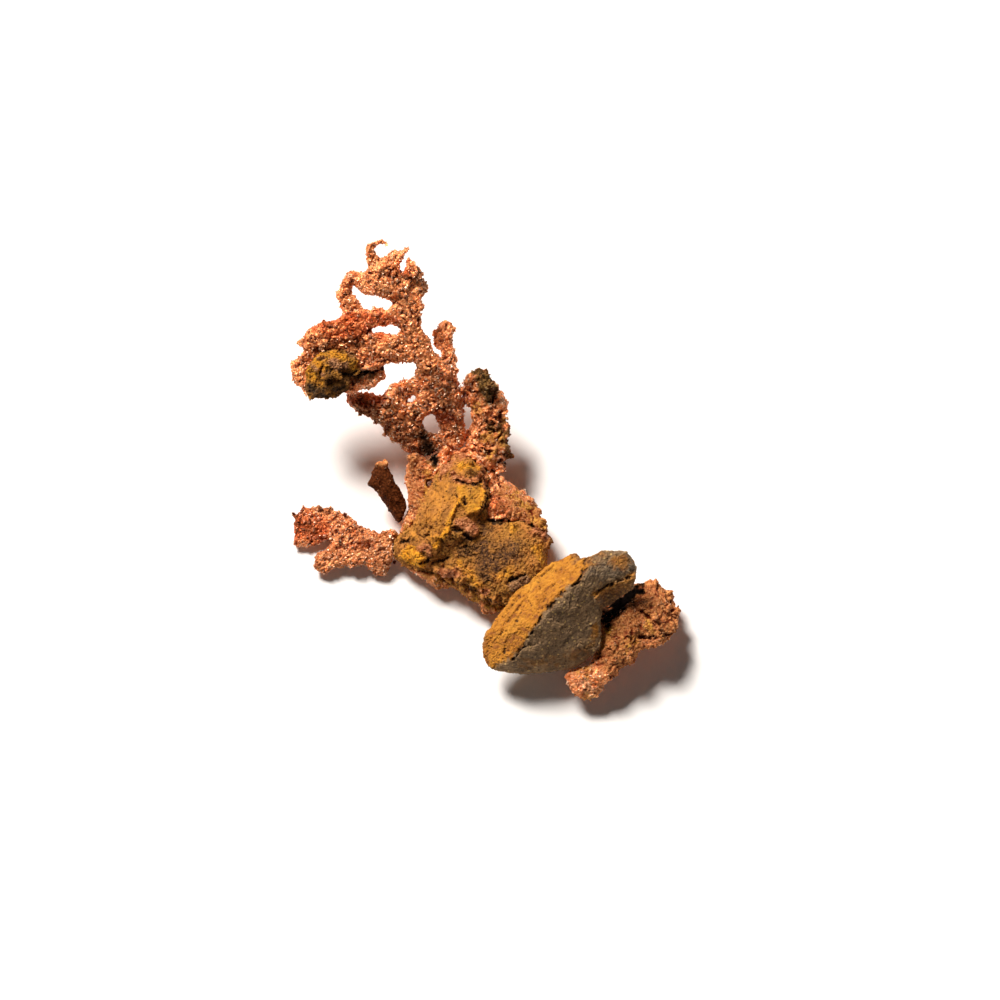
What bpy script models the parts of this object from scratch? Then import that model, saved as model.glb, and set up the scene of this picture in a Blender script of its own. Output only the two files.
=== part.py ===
"""A native copper nugget: a fern-like fan of crumpled copper growing out of a copper mass that is
crusted with ochre, with a chip of dark rock wedged against it.

The growth is one branching piece of copper, split here at its main forks. The crust, the rock chip
and the lump caught in the fan are other minerals, so each is a piece of its own.

Lengths in the tables are millimetres. A place is written (across, along, height): across and
along are drawn on a plane square to a sight line 70 degrees above the bench, the direction that
the growth faces, and height is the height above the bench. sighted() turns it into X, Y, Z.

Run it with: blender --background --python part.py
"""

import math
import random

import bmesh
import bpy
from mathutils import Matrix, Vector, noise

MM = 0.001

# Driving dimensions, in millimetres
SIGHT_DEG = 70.0  # how steeply the drawing plane's sight line comes down on the bench
SEAM = 0.34  # the gap kept between neighbouring pieces
SHEET_THIN = 0.28  # a copper sheet's half thickness is this plus a share of its half width
SHEET_SHARE = 0.34
STEP = 0.45  # spacing of the lobes along a stroke, as a share of its half width

# Voxel sizes, in millimetres, of the skins that join the lobes of a piece
COPPER_VOXEL = 0.26
MASS_VOXEL = 0.42
ROCK_VOXEL = 0.36
FINAL_VOXEL = 0.22
CUTTER_VOXEL = 0.38

# How a stroke's cross-section is shaped
SHEET = "sheet"  # a ribbon, flattened square to the piece's facing direction
LUMP = "lump"  # nearly round

# Directions that the sheets of copper face
FAN_FACES = (-0.16, -0.55, 0.82)
FROND_FACES = (-0.10, -0.12, 0.98)
BLADE_FACES = (-0.42, -0.86, 0.30)
UP = (0.0, 0.0, 1.0)

# The fan: a trunk that climbs away from the mass, with arms to its left and a twig to its right.
# Each point is (across, along, height, half width).
FAN_STROKES = {
    "trunk": [(-4.6, 4.4, 4.5, 1.2), (-4.6, 5.6, 5.0, 1.2), (-4.7, 7.0, 5.7, 1.2),
              (-5.1, 8.5, 6.5, 1.5), (-5.8, 10.2, 7.8, 1.8), (-6.5, 12.2, 9.2, 1.75),
              (-7.6, 14.2, 10.6, 1.45), (-8.3, 15.8, 11.7, 1.2), (-9.0, 17.6, 12.8, 1.05),
              (-9.2, 19.0, 13.6, 1.2), (-9.4, 20.6, 14.4, 1.4), (-9.7, 22.0, 15.0, 1.3)],
    "top_dome": [(-10.2, 22.4, 15.2, 1.1), (-10.5, 23.2, 15.6, 1.0), (-10.4, 24.0, 15.9, 0.85)],
    "top_hook": [(-11.6, 22.4, 15.2, 0.9), (-12.5, 22.7, 15.4, 0.7), (-12.95, 23.5, 15.8, 0.5),
                 (-13.0, 24.5, 16.2, 0.44), (-12.7, 25.2, 16.5, 0.42), (-12.0, 25.65, 16.7, 0.42),
                 (-11.3, 25.5, 16.8, 0.38)],
    "hook_floor": [(-12.6, 23.3, 15.7, 0.4), (-11.8, 23.7, 15.9, 0.4), (-11.0, 24.1, 16.0, 0.4)],
    "top_spur": [(-9.9, 24.0, 16.0, 0.5), (-9.4, 24.6, 16.3, 0.42), (-9.05, 25.1, 16.6, 0.36)],
    "top_right_knob": [(-9.3, 22.0, 15.1, 0.7), (-8.8, 22.8, 15.4, 0.66), (-8.75, 23.4, 15.7, 0.64)],
    "right_spike": [(-8.6, 21.9, 14.9, 0.6), (-7.7, 22.7, 15.0, 0.3)],
    "upper_right_knob": [(-8.6, 20.9, 14.5, 0.9), (-7.9, 21.0, 14.2, 0.75), (-7.6, 21.2, 14.0, 0.66)],
    "lower_right_knob": [(-8.8, 19.3, 13.7, 0.9), (-8.1, 19.3, 13.3, 0.7)],
    "first_arm": [(-9.8, 21.4, 14.9, 1.4), (-11.6, 21.3, 14.8, 1.4), (-13.0, 21.3, 14.6, 1.3),
                  (-14.0, 21.9, 14.4, 0.75), (-15.0, 22.1, 14.1, 0.6), (-15.4, 21.8, 13.9, 0.55),
                  (-15.4, 21.1, 13.5, 0.45), (-15.3, 20.3, 13.1, 0.7)],
    "second_arm": [(-15.0, 20.0, 13.0, 0.9), (-14.9, 19.3, 12.9, 1.1), (-14.3, 18.7, 12.8, 0.9)],
    "third_arm": [(-9.4, 18.3, 13.0, 1.0), (-11.0, 18.2, 12.9, 0.9), (-12.6, 18.1, 12.9, 0.95),
                  (-14.4, 17.8, 12.8, 1.2), (-16.0, 17.0, 12.5, 1.35), (-17.6, 16.5, 12.0, 1.3),
                  (-18.8, 16.0, 11.5, 0.9), (-19.7, 15.7, 11.1, 0.5), (-20.2, 15.65, 10.9, 0.36)],
    "fourth_arm": [(-8.0, 15.0, 11.0, 1.6), (-9.8, 14.95, 11.0, 1.5), (-11.4, 14.9, 11.1, 1.4),
                   (-13.0, 15.1, 11.2, 1.5), (-14.6, 15.1, 11.2, 1.5), (-16.4, 15.0, 11.0, 1.25),
                   (-18.0, 14.8, 10.6, 0.8)],
    "fourth_arm_crest": [(-13.4, 16.0, 11.7, 0.6), (-12.0, 16.25, 11.7, 0.55),
                         (-10.6, 15.9, 11.5, 0.55)],
    "fourth_arm_lip": [(-14.4, 13.6, 10.8, 0.9), (-13.0, 13.2, 10.5, 0.75), (-11.8, 13.2, 10.2, 0.4)],
    "left_knob": [(-18.4, 14.4, 10.5, 0.8), (-19.2, 14.0, 10.3, 0.6), (-20.0, 13.9, 10.1, 0.6),
                  (-20.2, 13.0, 9.9, 0.85), (-20.0, 12.1, 9.7, 0.7)],
    "left_prong": [(-19.7, 12.0, 9.6, 0.65), (-19.1, 11.0, 9.2, 0.55), (-18.9, 10.2, 9.0, 0.35)],
    "backing": [(-19.3, 12.0, 9.1, 0.9), (-17.6, 12.2, 8.9, 1.2), (-16.0, 12.8, 9.3, 1.2),
                (-15.0, 14.0, 9.9, 1.1)],
    "fifth_arm": [(-15.6, 11.4, 9.2, 0.6), (-14.6, 11.2, 9.3, 0.6), (-13.4, 11.6, 9.4, 0.7),
                  (-12.3, 12.0, 9.4, 0.6), (-11.5, 12.6, 9.3, 0.35)],
    "fifth_arm_web": [(-15.4, 12.5, 9.5, 0.6), (-14.2, 12.4, 9.5, 0.55), (-12.8, 12.5, 9.5, 0.5)],
    "fifth_arm_link": [(-15.0, 11.2, 9.1, 0.5), (-14.8, 10.6, 8.0, 0.5), (-14.5, 10.0, 6.8, 0.7)],
    "sixth_arm": [(-7.6, 11.6, 8.9, 0.95), (-9.0, 11.4, 8.6, 0.75), (-10.2, 11.1, 8.4, 0.62),
                  (-11.1, 11.0, 8.3, 0.5)],
    "sixth_arm_root": [(-7.4, 10.6, 8.1, 0.7), (-8.2, 10.5, 8.0, 0.5)],
    "sixth_arm_seam": [(-9.7, 10.4, 7.7, 0.5), (-10.8, 10.3, 7.5, 0.5)],
    "sixth_arm_floor": [(-11.2, 10.6, 8.0, 0.45), (-12.4, 10.0, 7.2, 0.5), (-13.6, 9.8, 6.8, 0.7)],
    "seventh_arm": [(-7.2, 9.6, 7.4, 1.0), (-8.8, 9.0, 7.1, 0.95), (-10.4, 9.1, 6.9, 1.1),
                    (-12.0, 9.0, 6.7, 1.2), (-13.4, 9.2, 6.5, 1.1), (-14.3, 9.9, 6.4, 0.7)],
    "low_sheet": [(-8.2, 8.3, 6.5, 1.0), (-9.5, 7.5, 5.9, 1.3), (-9.0, 6.4, 5.2, 1.5),
                  (-8.2, 5.6, 4.7, 1.3), (-7.3, 4.9, 4.4, 0.9), (-6.2, 4.9, 4.5, 0.75),
                  (-5.2, 4.8, 4.6, 0.9)],
    "low_sheet_knob": [(-10.0, 6.9, 5.6, 0.9), (-10.8, 6.8, 5.4, 0.7), (-11.3, 6.7, 5.3, 0.55)],
    "hole_bar": [(-7.6, 6.1, 4.9, 0.45), (-6.4, 6.2, 5.1, 0.42), (-5.4, 6.6, 5.4, 0.5)],
    "right_edge": [(-5.1, 11.6, 8.3, 0.75), (-4.6, 10.2, 7.3, 0.7), (-4.2, 9.0, 6.7, 0.65),
                   (-4.0, 7.8, 6.1, 0.6), (-4.1, 6.6, 5.5, 0.6)],
    "right_twig": [(-5.2, 12.2, 8.9, 0.85), (-5.1, 13.6, 9.3, 0.7), (-5.4, 14.8, 9.6, 0.68),
                   (-5.5, 15.8, 9.8, 0.72), (-5.5, 16.6, 10.0, 0.72), (-5.4, 17.7, 10.3, 0.42)],
    "right_twig_left_bud": [(-5.9, 16.5, 10.0, 0.5), (-6.4, 16.6, 10.1, 0.42)],
    "right_twig_right_bud": [(-5.1, 16.7, 10.0, 0.4), (-4.45, 17.0, 10.2, 0.33)],
}

# The holes that show through the fan, as outlines on the drawing plane
FAN_HOLES = [
    [(-12.4, 25.1), (-12.1, 25.4), (-11.6, 25.45), (-11.2, 25.1), (-10.8, 24.8), (-11.6, 24.3),
     (-12.1, 24.3), (-12.5, 24.6)],
    [(-10.0, 22.6), (-9.95, 23.6), (-9.7, 24.2), (-9.4, 24.5), (-9.0, 24.9), (-8.6, 24.3),
     (-9.2, 24.1), (-9.35, 23.4), (-9.55, 22.6)],
    [(-21.0, 15.35), (-19.9, 15.25), (-19.2, 15.05), (-19.4, 14.75), (-20.2, 14.85), (-21.0, 14.8)],
    [(-5.8, 6.5), (-5.2, 6.4), (-4.9, 5.6), (-5.3, 5.5)],
    [(-14.9, 21.2), (-14.5, 21.3), (-14.1, 20.6), (-13.4, 20.35), (-12.2, 20.35), (-11.4, 20.1),
     (-10.9, 19.6), (-11.2, 19.1), (-12.2, 19.15), (-13.2, 19.1), (-13.8, 19.5), (-14.3, 20.1),
     (-14.7, 20.6)],
    [(-13.5, 16.7), (-12.9, 17.1), (-12.0, 17.35), (-11.0, 17.2), (-10.4, 16.8), (-10.1, 16.3),
     (-10.7, 16.4), (-11.4, 16.7), (-12.2, 16.75), (-12.9, 16.5)],
    [(-11.2, 13.2), (-10.3, 13.7), (-8.5, 13.8), (-8.3, 13.2), (-8.5, 12.5), (-9.4, 12.1),
     (-10.2, 11.8), (-11.0, 11.4), (-11.4, 11.2), (-11.3, 10.5), (-11.8, 10.3), (-12.4, 10.5),
     (-12.9, 10.8), (-12.2, 11.3), (-11.5, 11.7), (-11.2, 12.4)],
    [(-9.6, 9.9), (-9.0, 10.3), (-8.3, 10.5), (-8.2, 10.2), (-8.7, 9.8), (-9.3, 9.6)],
    [(-7.8, 8.2), (-7.2, 8.4), (-6.9, 8.0), (-6.3, 7.7), (-5.8, 6.8), (-6.3, 6.6), (-7.0, 6.7),
     (-7.4, 7.3)],
]
FAN_HOLE_HEIGHTS = (2.0, 19.0)

# The stubby branch to the right of the fan's foot
BRANCH_STROKES = {
    "stem": [(-1.0, 2.6, 4.0, 1.5), (-1.3, 4.4, 4.8, 1.75), (-1.3, 6.0, 5.5, 1.75),
             (-1.4, 7.4, 6.1, 1.6), (-1.6, 8.8, 6.8, 1.5), (-1.9, 10.2, 7.4, 1.45),
             (-2.1, 11.8, 8.1, 1.3), (-2.0, 12.7, 8.4, 0.8)],
    "left_swell": [(-3.1, 11.6, 7.8, 0.7), (-3.5, 10.9, 7.5, 0.7), (-3.4, 10.1, 7.2, 0.7)],
    "right_lobe": [(-0.4, 9.6, 6.9, 0.7), (0.2, 9.8, 6.9, 0.65), (0.4, 9.0, 6.7, 0.5),
                   (0.1, 8.4, 6.4, 0.5)],
    "low_right": [(-0.1, 7.0, 5.8, 0.85), (0.3, 5.6, 5.2, 0.75), (0.8, 4.8, 4.8, 0.45),
                  (1.5, 4.2, 4.5, 0.28)],
    "low_left": [(-2.9, 6.3, 5.4, 0.85), (-3.0, 5.2, 5.0, 0.85), (-2.4, 4.0, 4.5, 0.9)],
}

# The mass at the middle, wide and low, which the core and its ochre crust are parted from
MASS_STROKES = {
    "spine": [(-5.0, 4.0, 4.4, 1.3), (-4.6, 2.4, 4.8, 2.0), (-4.2, 0.2, 4.9, 2.8),
              (-5.2, -2.2, 4.3, 2.9), (-6.9, -4.2, 3.2, 2.4), (-8.6, -4.9, 2.4, 1.6),
              (-9.8, -4.9, 2.2, 1.0)],
    "slab": [(-4.4, 2.2, 6.2, 1.0), (-3.9, 0.6, 6.8, 1.3), (-2.7, 0.1, 6.9, 1.2),
             (-2.5, -0.8, 6.8, 1.2), (-4.0, -1.0, 6.7, 1.3), (-5.2, -2.4, 5.9, 1.2),
             (-6.4, -3.8, 4.9, 1.1)],
    "right_shoulder": [(-1.6, 1.9, 4.0, 1.5), (-0.7, 0.7, 4.3, 1.4), (0.9, -0.05, 4.6, 1.22),
                       (2.1, -0.95, 4.4, 1.5), (2.6, -2.6, 4.0, 1.5), (3.0, -4.4, 3.6, 1.65),
                       (3.0, -6.0, 3.4, 1.8)],
    "red_knob": [(0.1, -0.8, 5.7, 1.0), (0.4, -1.6, 5.8, 0.85)],
    "plateau": [(-3.6, -6.0, 3.3, 2.2), (-2.0, -4.4, 4.2, 2.5), (0.6, -4.8, 4.4, 2.3),
                (2.4, -5.4, 4.0, 2.0), (1.0, -7.6, 3.8, 2.5), (-1.0, -7.0, 3.8, 2.3)],
    "lower_rim": [(-7.5, -6.9, 1.9, 1.1), (-6.0, -7.3, 1.8, 1.0), (-4.5, -7.8, 1.9, 1.1),
                  (-2.7, -8.8, 2.2, 1.05), (-1.2, -9.8, 2.4, 0.95), (0.4, -10.4, 2.5, 1.0)],
    "left_knobs": [(-8.7, 3.8, 3.8, 0.75), (-8.4, 2.9, 3.6, 0.7), (-9.0, 1.9, 3.4, 0.75),
                   (-8.5, 1.0, 3.3, 0.8), (-7.8, -0.2, 3.2, 1.1), (-8.2, -1.6, 3.0, 1.2),
                   (-8.8, -3.0, 2.6, 1.2)],
    "left_link": [(-8.4, 3.0, 3.7, 0.6), (-7.2, 3.1, 3.9, 0.55), (-6.0, 3.4, 4.2, 0.8)],
    "left_lower_link": [(-8.0, 0.6, 3.3, 0.7), (-6.8, 0.3, 3.6, 0.9)],
    "left_base": [(-6.6, 2.8, 2.9, 0.7), (-6.6, 0.6, 2.2, 1.4), (-7.0, -1.2, 2.0, 1.9),
                  (-8.2, -3.6, 1.6, 1.7), (-9.0, -4.6, 1.6, 1.3)],
    "top_base": [(-4.8, 3.9, 3.2, 1.4), (-3.0, 2.8, 3.0, 1.7), (-1.2, 1.8, 3.0, 1.5)],
    "right_base": [(-1.0, 1.0, 2.9, 1.6), (0.8, -1.2, 2.5, 1.9), (1.8, -3.0, 2.2, 2.0),
                   (2.6, -5.2, 2.1, 2.1)],
    "underside": [(-4.6, -1.0, 1.8, 2.5), (-2.6, -3.4, 1.6, 2.7), (0.0, -4.6, 1.6, 2.7),
                  (1.8, -6.8, 1.9, 2.4), (3.4, -8.8, 1.9, 2.2), (5.0, -9.4, 2.0, 1.8)],
}

# A small gap through the mass, between its left knobs and its middle
CORE_HOLE = [(-7.5, 2.1), (-6.5, 2.1), (-6.7, 1.5), (-7.1, 1.1)]
CORE_HOLE_HEIGHTS = (-1.0, 6.0)

# Where the ochre lies on the mass, as an outline on the drawing plane, and how deep it goes
CRUST_OUTLINE = [
    (-5.7, 3.2), (-4.9, 3.4), (-4.6, 4.2), (-3.3, 4.4), (-2.3, 3.9), (-1.6, 2.7), (-1.3, 1.6),
    (-1.3, 0.0), (-1.8, -1.2), (-1.2, -2.3),
    (0.6, -2.6), (1.8, -2.2), (3.0, -2.9), (4.3, -3.2), (5.4, -4.6), (6.0, -7.0), (3.0, -10.5),
    (0.0, -10.2), (-2.0, -9.4), (-3.2, -8.2), (-5.2, -7.4), (-7.4, -6.8), (-9.2, -6.8),
    (-10.6, -6.0), (-10.2, -4.0), (-8.4, -2.6), (-7.8, -1.2), (-6.9, 0.6), (-6.1, 2.4)]
CRUST_DEEP = 1.3
CRUST_HEIGHTS = (1.6, 12.0)

# Copper that runs out under the rock chip, with a round lobe, a drooping tip and a foot
LOBE_STROKES = {
    "bridge": [(5.4, -9.8, 2.3, 2.0), (7.6, -11.6, 2.4, 2.0), (9.6, -13.0, 2.4, 2.1),
               (11.4, -13.6, 3.5, 2.1)],
    "round_lobe": [(12.2, -13.4, 3.9, 2.1), (13.6, -12.4, 3.9, 2.1), (14.9, -11.4, 3.6, 2.0),
                   (15.2, -10.4, 3.3, 1.7)],
    "lobe_edge": [(13.7, -9.1, 3.4, 0.8), (15.3, -9.2, 3.1, 1.0), (16.5, -10.4, 2.8, 0.9),
                  (16.8, -11.8, 3.1, 0.8), (16.3, -13.0, 4.0, 0.9), (15.0, -13.5, 4.7, 0.9)],
    "droop": [(11.8, -14.8, 3.9, 1.9), (11.0, -16.0, 3.4, 1.5), (9.8, -17.2, 2.9, 1.1),
              (9.0, -18.7, 2.3, 0.85), (8.9, -19.8, 1.9, 0.45)],
    "side_tip": [(9.2, -17.2, 3.3, 0.8), (7.7, -17.5, 3.2, 0.8), (6.6, -17.5, 3.2, 0.5)],
    "side_tip_edge": [(6.9, -17.8, 3.1, 0.5), (7.7, -18.7, 2.7, 0.6), (8.6, -19.6, 2.2, 0.6)],
    "inner_side": [(10.6, -12.4, 1.9, 1.4), (12.4, -11.2, 2.1, 1.5), (13.2, -10.0, 2.4, 1.2)],
    "inner_rim": [(10.2, -11.2, 1.5, 1.3), (11.6, -10.2, 1.7, 1.3), (12.8, -9.1, 2.2, 1.0)],
    "foot": [(8.2, -12.6, 2.0, 1.8), (8.6, -13.6, 1.0, 1.7), (8.8, -14.0, 0.5, 1.5)],
}

# The forked frond low on the left, and the small foot under its stem
FROND_STROKES = {
    "upper_lobe": [(-19.3, -2.6, 0.9, 1.35), (-18.3, -2.5, 1.0, 1.9), (-16.8, -2.35, 1.2, 1.75),
                   (-15.4, -3.1, 1.4, 1.75), (-14.2, -4.2, 1.5, 1.7), (-12.9, -4.7, 1.6, 1.75),
                   (-11.6, -4.7, 1.8, 1.75), (-10.4, -4.4, 2.0, 1.6), (-9.3, -3.8, 2.3, 1.1)],
    "top_edge": [(-19.6, -1.6, 1.1, 0.8), (-18.6, -1.2, 1.2, 0.75), (-17.2, -1.3, 1.3, 0.7)],
    "lower_corner": [(-20.2, -4.0, 0.7, 0.7), (-19.2, -4.3, 0.7, 0.65), (-18.4, -4.1, 0.8, 0.5)],
    "upper_corner": [(-20.3, -2.2, 1.0, 0.6), (-20.0, -3.2, 0.9, 0.6)],
    "lower_prong": [(-18.0, -6.25, 1.0, 0.95), (-17.0, -6.1, 1.1, 1.15), (-15.6, -5.8, 1.3, 1.2),
                    (-14.0, -5.6, 1.5, 1.25), (-12.6, -5.5, 1.6, 1.25)],
    "foot": [(-12.2, -6.0, 1.6, 1.0), (-12.0, -6.6, 1.1, 1.0), (-11.9, -6.8, 0.5, 1.1)],
}

# The gap between the frond's two prongs, as an outline on the drawing plane
FROND_SLIT = [(-19.2, -5.3), (-18.6, -4.8), (-17.4, -4.35), (-16.3, -3.95), (-16.3, -4.3),
              (-17.4, -4.75), (-18.5, -5.25)]
FROND_SLIT_HEIGHTS = (-1.0, 8.0)

# The thin leaf that stands free between the fan and the frond
BLADE_STROKES = {
    "leaf": [(-9.3, -2.4, 2.8, 0.7), (-9.8, -1.6, 3.0, 1.1), (-10.2, -0.6, 3.3, 1.4),
             (-11.0, 0.7, 3.9, 1.5), (-11.6, 2.0, 4.5, 1.3), (-11.8, 3.2, 5.0, 0.9)],
    "corner": [(-11.8, 1.4, 4.3, 0.8), (-12.9, 1.75, 4.2, 0.5)],
}

# The lump of ochre caught in the fan's left arms
CLUMP_STROKES = {
    "lump": [(-18.6, 12.2, 10.6, 0.9), (-17.9, 13.3, 11.2, 1.2), (-16.6, 13.9, 11.6, 1.15),
             (-15.4, 13.7, 11.6, 0.9), (-14.4, 13.2, 11.4, 0.5)],
    "lower": [(-18.2, 11.4, 10.2, 0.95), (-17.0, 11.3, 10.3, 1.1), (-15.8, 11.7, 10.6, 0.9)],
    "spur": [(-18.3, 11.2, 10.1, 0.7), (-18.6, 10.4, 9.8, 0.5), (-18.9, 10.0, 9.7, 0.3)],
}

# The rock chip's corners: its ridge, its ochre side, its dark side and its keel
ROCK_BODY = [
    (1.2, -15.9, 5.4), (3.5, -12.2, 8.6), (6.6, -9.0, 10.4), (9.2, -6.5, 10.9),
    (-2.1, -15.0, 4.0), (-1.7, -13.3, 4.6), (-0.4, -11.1, 5.2), (2.1, -8.6, 6.2),
    (4.4, -6.5, 7.0), (6.0, -5.6, 7.6), (7.3, -5.0, 8.3),
    (-2.0, -16.7, 3.2), (-1.1, -17.3, 3.0), (0.5, -17.4, 2.8), (3.5, -17.6, 2.7),
    (6.7, -17.4, 3.1), (9.2, -16.2, 4.0), (10.3, -14.5, 4.8), (10.2, -11.2, 6.8),
    (9.8, -9.0, 8.0), (4.0, -12.6, 2.4), (8.0, -10.2, 4.2)]

# and those of its blunt end, which overhangs the copper lobe
ROCK_END = [
    (7.5, -6.0, 9.8), (9.0, -5.0, 10.2), (10.4, -4.7, 10.3), (12.2, -4.7, 10.0), (13.2, -5.2, 9.5),
    (13.8, -6.5, 8.9), (13.9, -7.8, 8.1), (13.7, -8.9, 7.2), (12.2, -10.1, 6.3), (10.4, -10.9, 5.9),
    (9.0, -10.0, 6.6), (9.0, -7.5, 9.9), (10.0, -8.0, 5.4), (12.0, -7.6, 5.8)]

# Studs: the small crystals and buds along a copper stroke
STUDS_PER_MM = 1.9
STUD_RADIUS = {SHEET: (0.28, 0.58), LUMP: (0.4, 0.85)}
STUD_REACH = (0.5, 1.0)  # how far out they stand, as a share of the half width

# How deep and how wide the unevenness of a surface is
CRUMPLE = {SHEET: (0.2, 0.9), LUMP: (0.3, 1.3)}
ROCK_WEAR = (0.2, 2.2)

TRIANGLES = {
    "matrix_rock": 560,
    "limonite_clump": 380,
    "ochre_crust": 1300,
    "copper_core": 1500,
    "copper_lower_lobe": 900,
    "copper_fan": 3450,
    "copper_side_branch": 850,
    "copper_blade": 170,
    "copper_left_frond": 760,
}


def sighted(across, along, height):
    """The point at this height above the bench that the sight line meets at (across, along)."""
    lean = math.radians(SIGHT_DEG)
    y = (along - height * math.cos(lean)) / math.sin(lean)
    return Vector((across, y, height))


def smooth_path(points):
    """Places and half widths along a Catmull-Rom curve through the points of a stroke."""
    places = [sighted(*p[:3]) for p in points]
    widths = [p[3] for p in points]
    ends = [places[0] * 2 - places[1], *places, places[-1] * 2 - places[-2]]
    path = []
    for i in range(len(places) - 1):
        before, start, end, after = ends[i:i + 4]
        span = (end - start).length
        steps = max(1, round(span / (STEP * min(widths[i], widths[i + 1]))))
        for k in range(steps):
            t = k / steps
            place = 0.5 * (2 * start + (end - before) * t
                           + (2 * before - 5 * start + 4 * end - after) * t * t
                           + (3 * start - before - 3 * end + after) * t ** 3)
            path.append((place, widths[i] + (widths[i + 1] - widths[i]) * t))
    path.append((places[-1], widths[-1]))
    return path


def add_lobe(bm, place, along, faces, half):
    """One ellipsoid with its length along a direction and its flat side facing another."""
    side = faces.cross(along).normalized()
    ahead = side.cross(faces).normalized()
    turn = Matrix((ahead, side, faces)).transposed().to_4x4()
    size = Matrix.Diagonal((*half, 1.0))
    bmesh.ops.create_icosphere(
        bm, subdivisions=2, radius=1.0, matrix=Matrix.Translation(place) @ turn @ size)


def half_thickness(half_width, section):
    if section == LUMP:
        return 0.85 * half_width
    return min(half_width, SHEET_THIN + SHEET_SHARE * half_width)


def add_stroke(bm, points, faces, section):
    """A row of ellipsoids that follow a stroke."""
    path = smooth_path(points)
    for i, (place, width) in enumerate(path):
        along = path[min(i + 1, len(path) - 1)][0] - path[max(i - 1, 0)][0]
        add_lobe(bm, place, along, faces, (width, width, half_thickness(width, section)))
    return path


def add_studs(bm, path, faces, section, rng):
    """Angular buds of copper at uneven spacing along both edges of a stroke."""
    length = sum((b[0] - a[0]).length for a, b in zip(path, path[1:]))
    for _ in range(round(length * STUDS_PER_MM)):
        i = rng.randrange(len(path) - 1)
        place, width = path[i]
        side = faces.cross(path[i + 1][0] - place).normalized()
        radius = min(rng.uniform(*STUD_RADIUS[section]), 0.8 * width)
        out = rng.choice((-1, 1)) * rng.uniform(*STUD_REACH) * width
        rise = rng.uniform(-0.8, 1.0) * half_thickness(width, section)
        turn = Matrix.Rotation(rng.uniform(0, math.tau), 4, Vector(rng.choice(
            ((1, 1, 0), (0, 1, 1), (1, 0, 1)))))
        spot = Matrix.Translation(place + side * out + faces * rise)
        bmesh.ops.create_cube(bm, size=1.7 * radius, matrix=spot @ turn)


def new_object(name, bm):
    """Turns a bmesh in millimetres into an object in metres."""
    bm.transform(Matrix.Scale(MM, 4))
    mesh = bpy.data.meshes.new(name)
    bm.to_mesh(mesh)
    bm.free()
    obj = bpy.data.objects.new(name, mesh)
    bpy.context.scene.collection.objects.link(obj)
    return obj


def add_modifier(obj, kind, **settings):
    modifier = obj.modifiers.new(kind.title(), kind)
    for key, value in settings.items():
        setattr(modifier, key, value)
    return modifier


def apply_modifiers(obj):
    """Replaces an object's mesh with what its modifiers make of it."""
    bpy.context.view_layer.update()
    graph = bpy.context.evaluated_depsgraph_get()
    mesh = bpy.data.meshes.new_from_object(obj.evaluated_get(graph))
    obj.modifiers.clear()
    obj.data = mesh


def add_skin(obj, voxel):
    """Joins overlapping shapes under one closed skin."""
    add_modifier(obj, "REMESH", mode="VOXEL", voxel_size=voxel * MM)


def roughen(obj, depth, scale, voxel):
    """Pushes the surface in and out by a solid noise, and skins it again to clear its folds."""
    pushes = []
    for vertex in obj.data.vertices:
        place = vertex.co / (scale * MM)
        push = noise.noise(place) + 0.5 * noise.noise(2.5 * place)
        pushes.append(vertex.normal * push * depth * MM)
    for vertex, push in zip(obj.data.vertices, pushes):
        vertex.co += push
    add_skin(obj, voxel)
    apply_modifiers(obj)


def islands(bm):
    """The separate bodies of a mesh, largest first."""
    left = set(bm.verts)
    found = []
    while left:
        stack = [left.pop()]
        body = set(stack)
        while stack:
            for edge in stack.pop().link_edges:
                for vertex in edge.verts:
                    if vertex not in body:
                        body.add(vertex)
                        stack.append(vertex)
        left -= body
        found.append(body)
    return sorted(found, key=len, reverse=True)


def keep_largest(obj):
    """Removes the crumbs that a cut leaves behind."""
    bm = bmesh.new()
    bm.from_mesh(obj.data)
    crumbs = [v for body in islands(bm)[1:] for v in body]
    bmesh.ops.delete(bm, geom=crumbs, context="VERTS")
    bm.to_mesh(obj.data)
    bm.free()


def swollen_copy(obj, by):
    """A copy of a piece whose surface is moved outwards by some millimetres, or inwards."""
    other = obj.copy()
    other.data = obj.data.copy()
    bpy.context.scene.collection.objects.link(other)
    add_modifier(other, "DISPLACE", strength=by * MM, mid_level=0.0)
    add_skin(other, CUTTER_VOXEL)
    apply_modifiers(other)
    return other


def cut_with(obj, cutter, operation="DIFFERENCE"):
    """Cuts a piece with a helper solid and removes the helper."""
    add_modifier(obj, "BOOLEAN", operation=operation, object=cutter, solver="EXACT")
    apply_modifiers(obj)
    bpy.data.objects.remove(cutter)
    keep_largest(obj)


def cut_back(obj, neighbour):
    """Cuts a piece where a neighbour lies, with the seam's gap between them."""
    cut_with(obj, swollen_copy(neighbour, SEAM))


def boxes_meet(a, b):
    """Whether the boxes of two pieces overlap."""
    def span(obj):
        corners = [v.co for v in obj.data.vertices]
        return ([min(c[k] for c in corners) for k in range(3)],
                [max(c[k] for c in corners) for k in range(3)])
    (low_a, high_a), (low_b, high_b) = span(a), span(b)
    return all(low_a[k] < high_b[k] and low_b[k] < high_a[k] for k in range(3))


def thin_out(obj, triangles):
    """Brings a piece down to about this many flat faces."""
    add_modifier(obj, "TRIANGULATE")
    apply_modifiers(obj)
    share = min(1.0, triangles / len(obj.data.polygons))
    add_modifier(obj, "DECIMATE", ratio=share, use_collapse_triangulate=True)
    apply_modifiers(obj)


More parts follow.
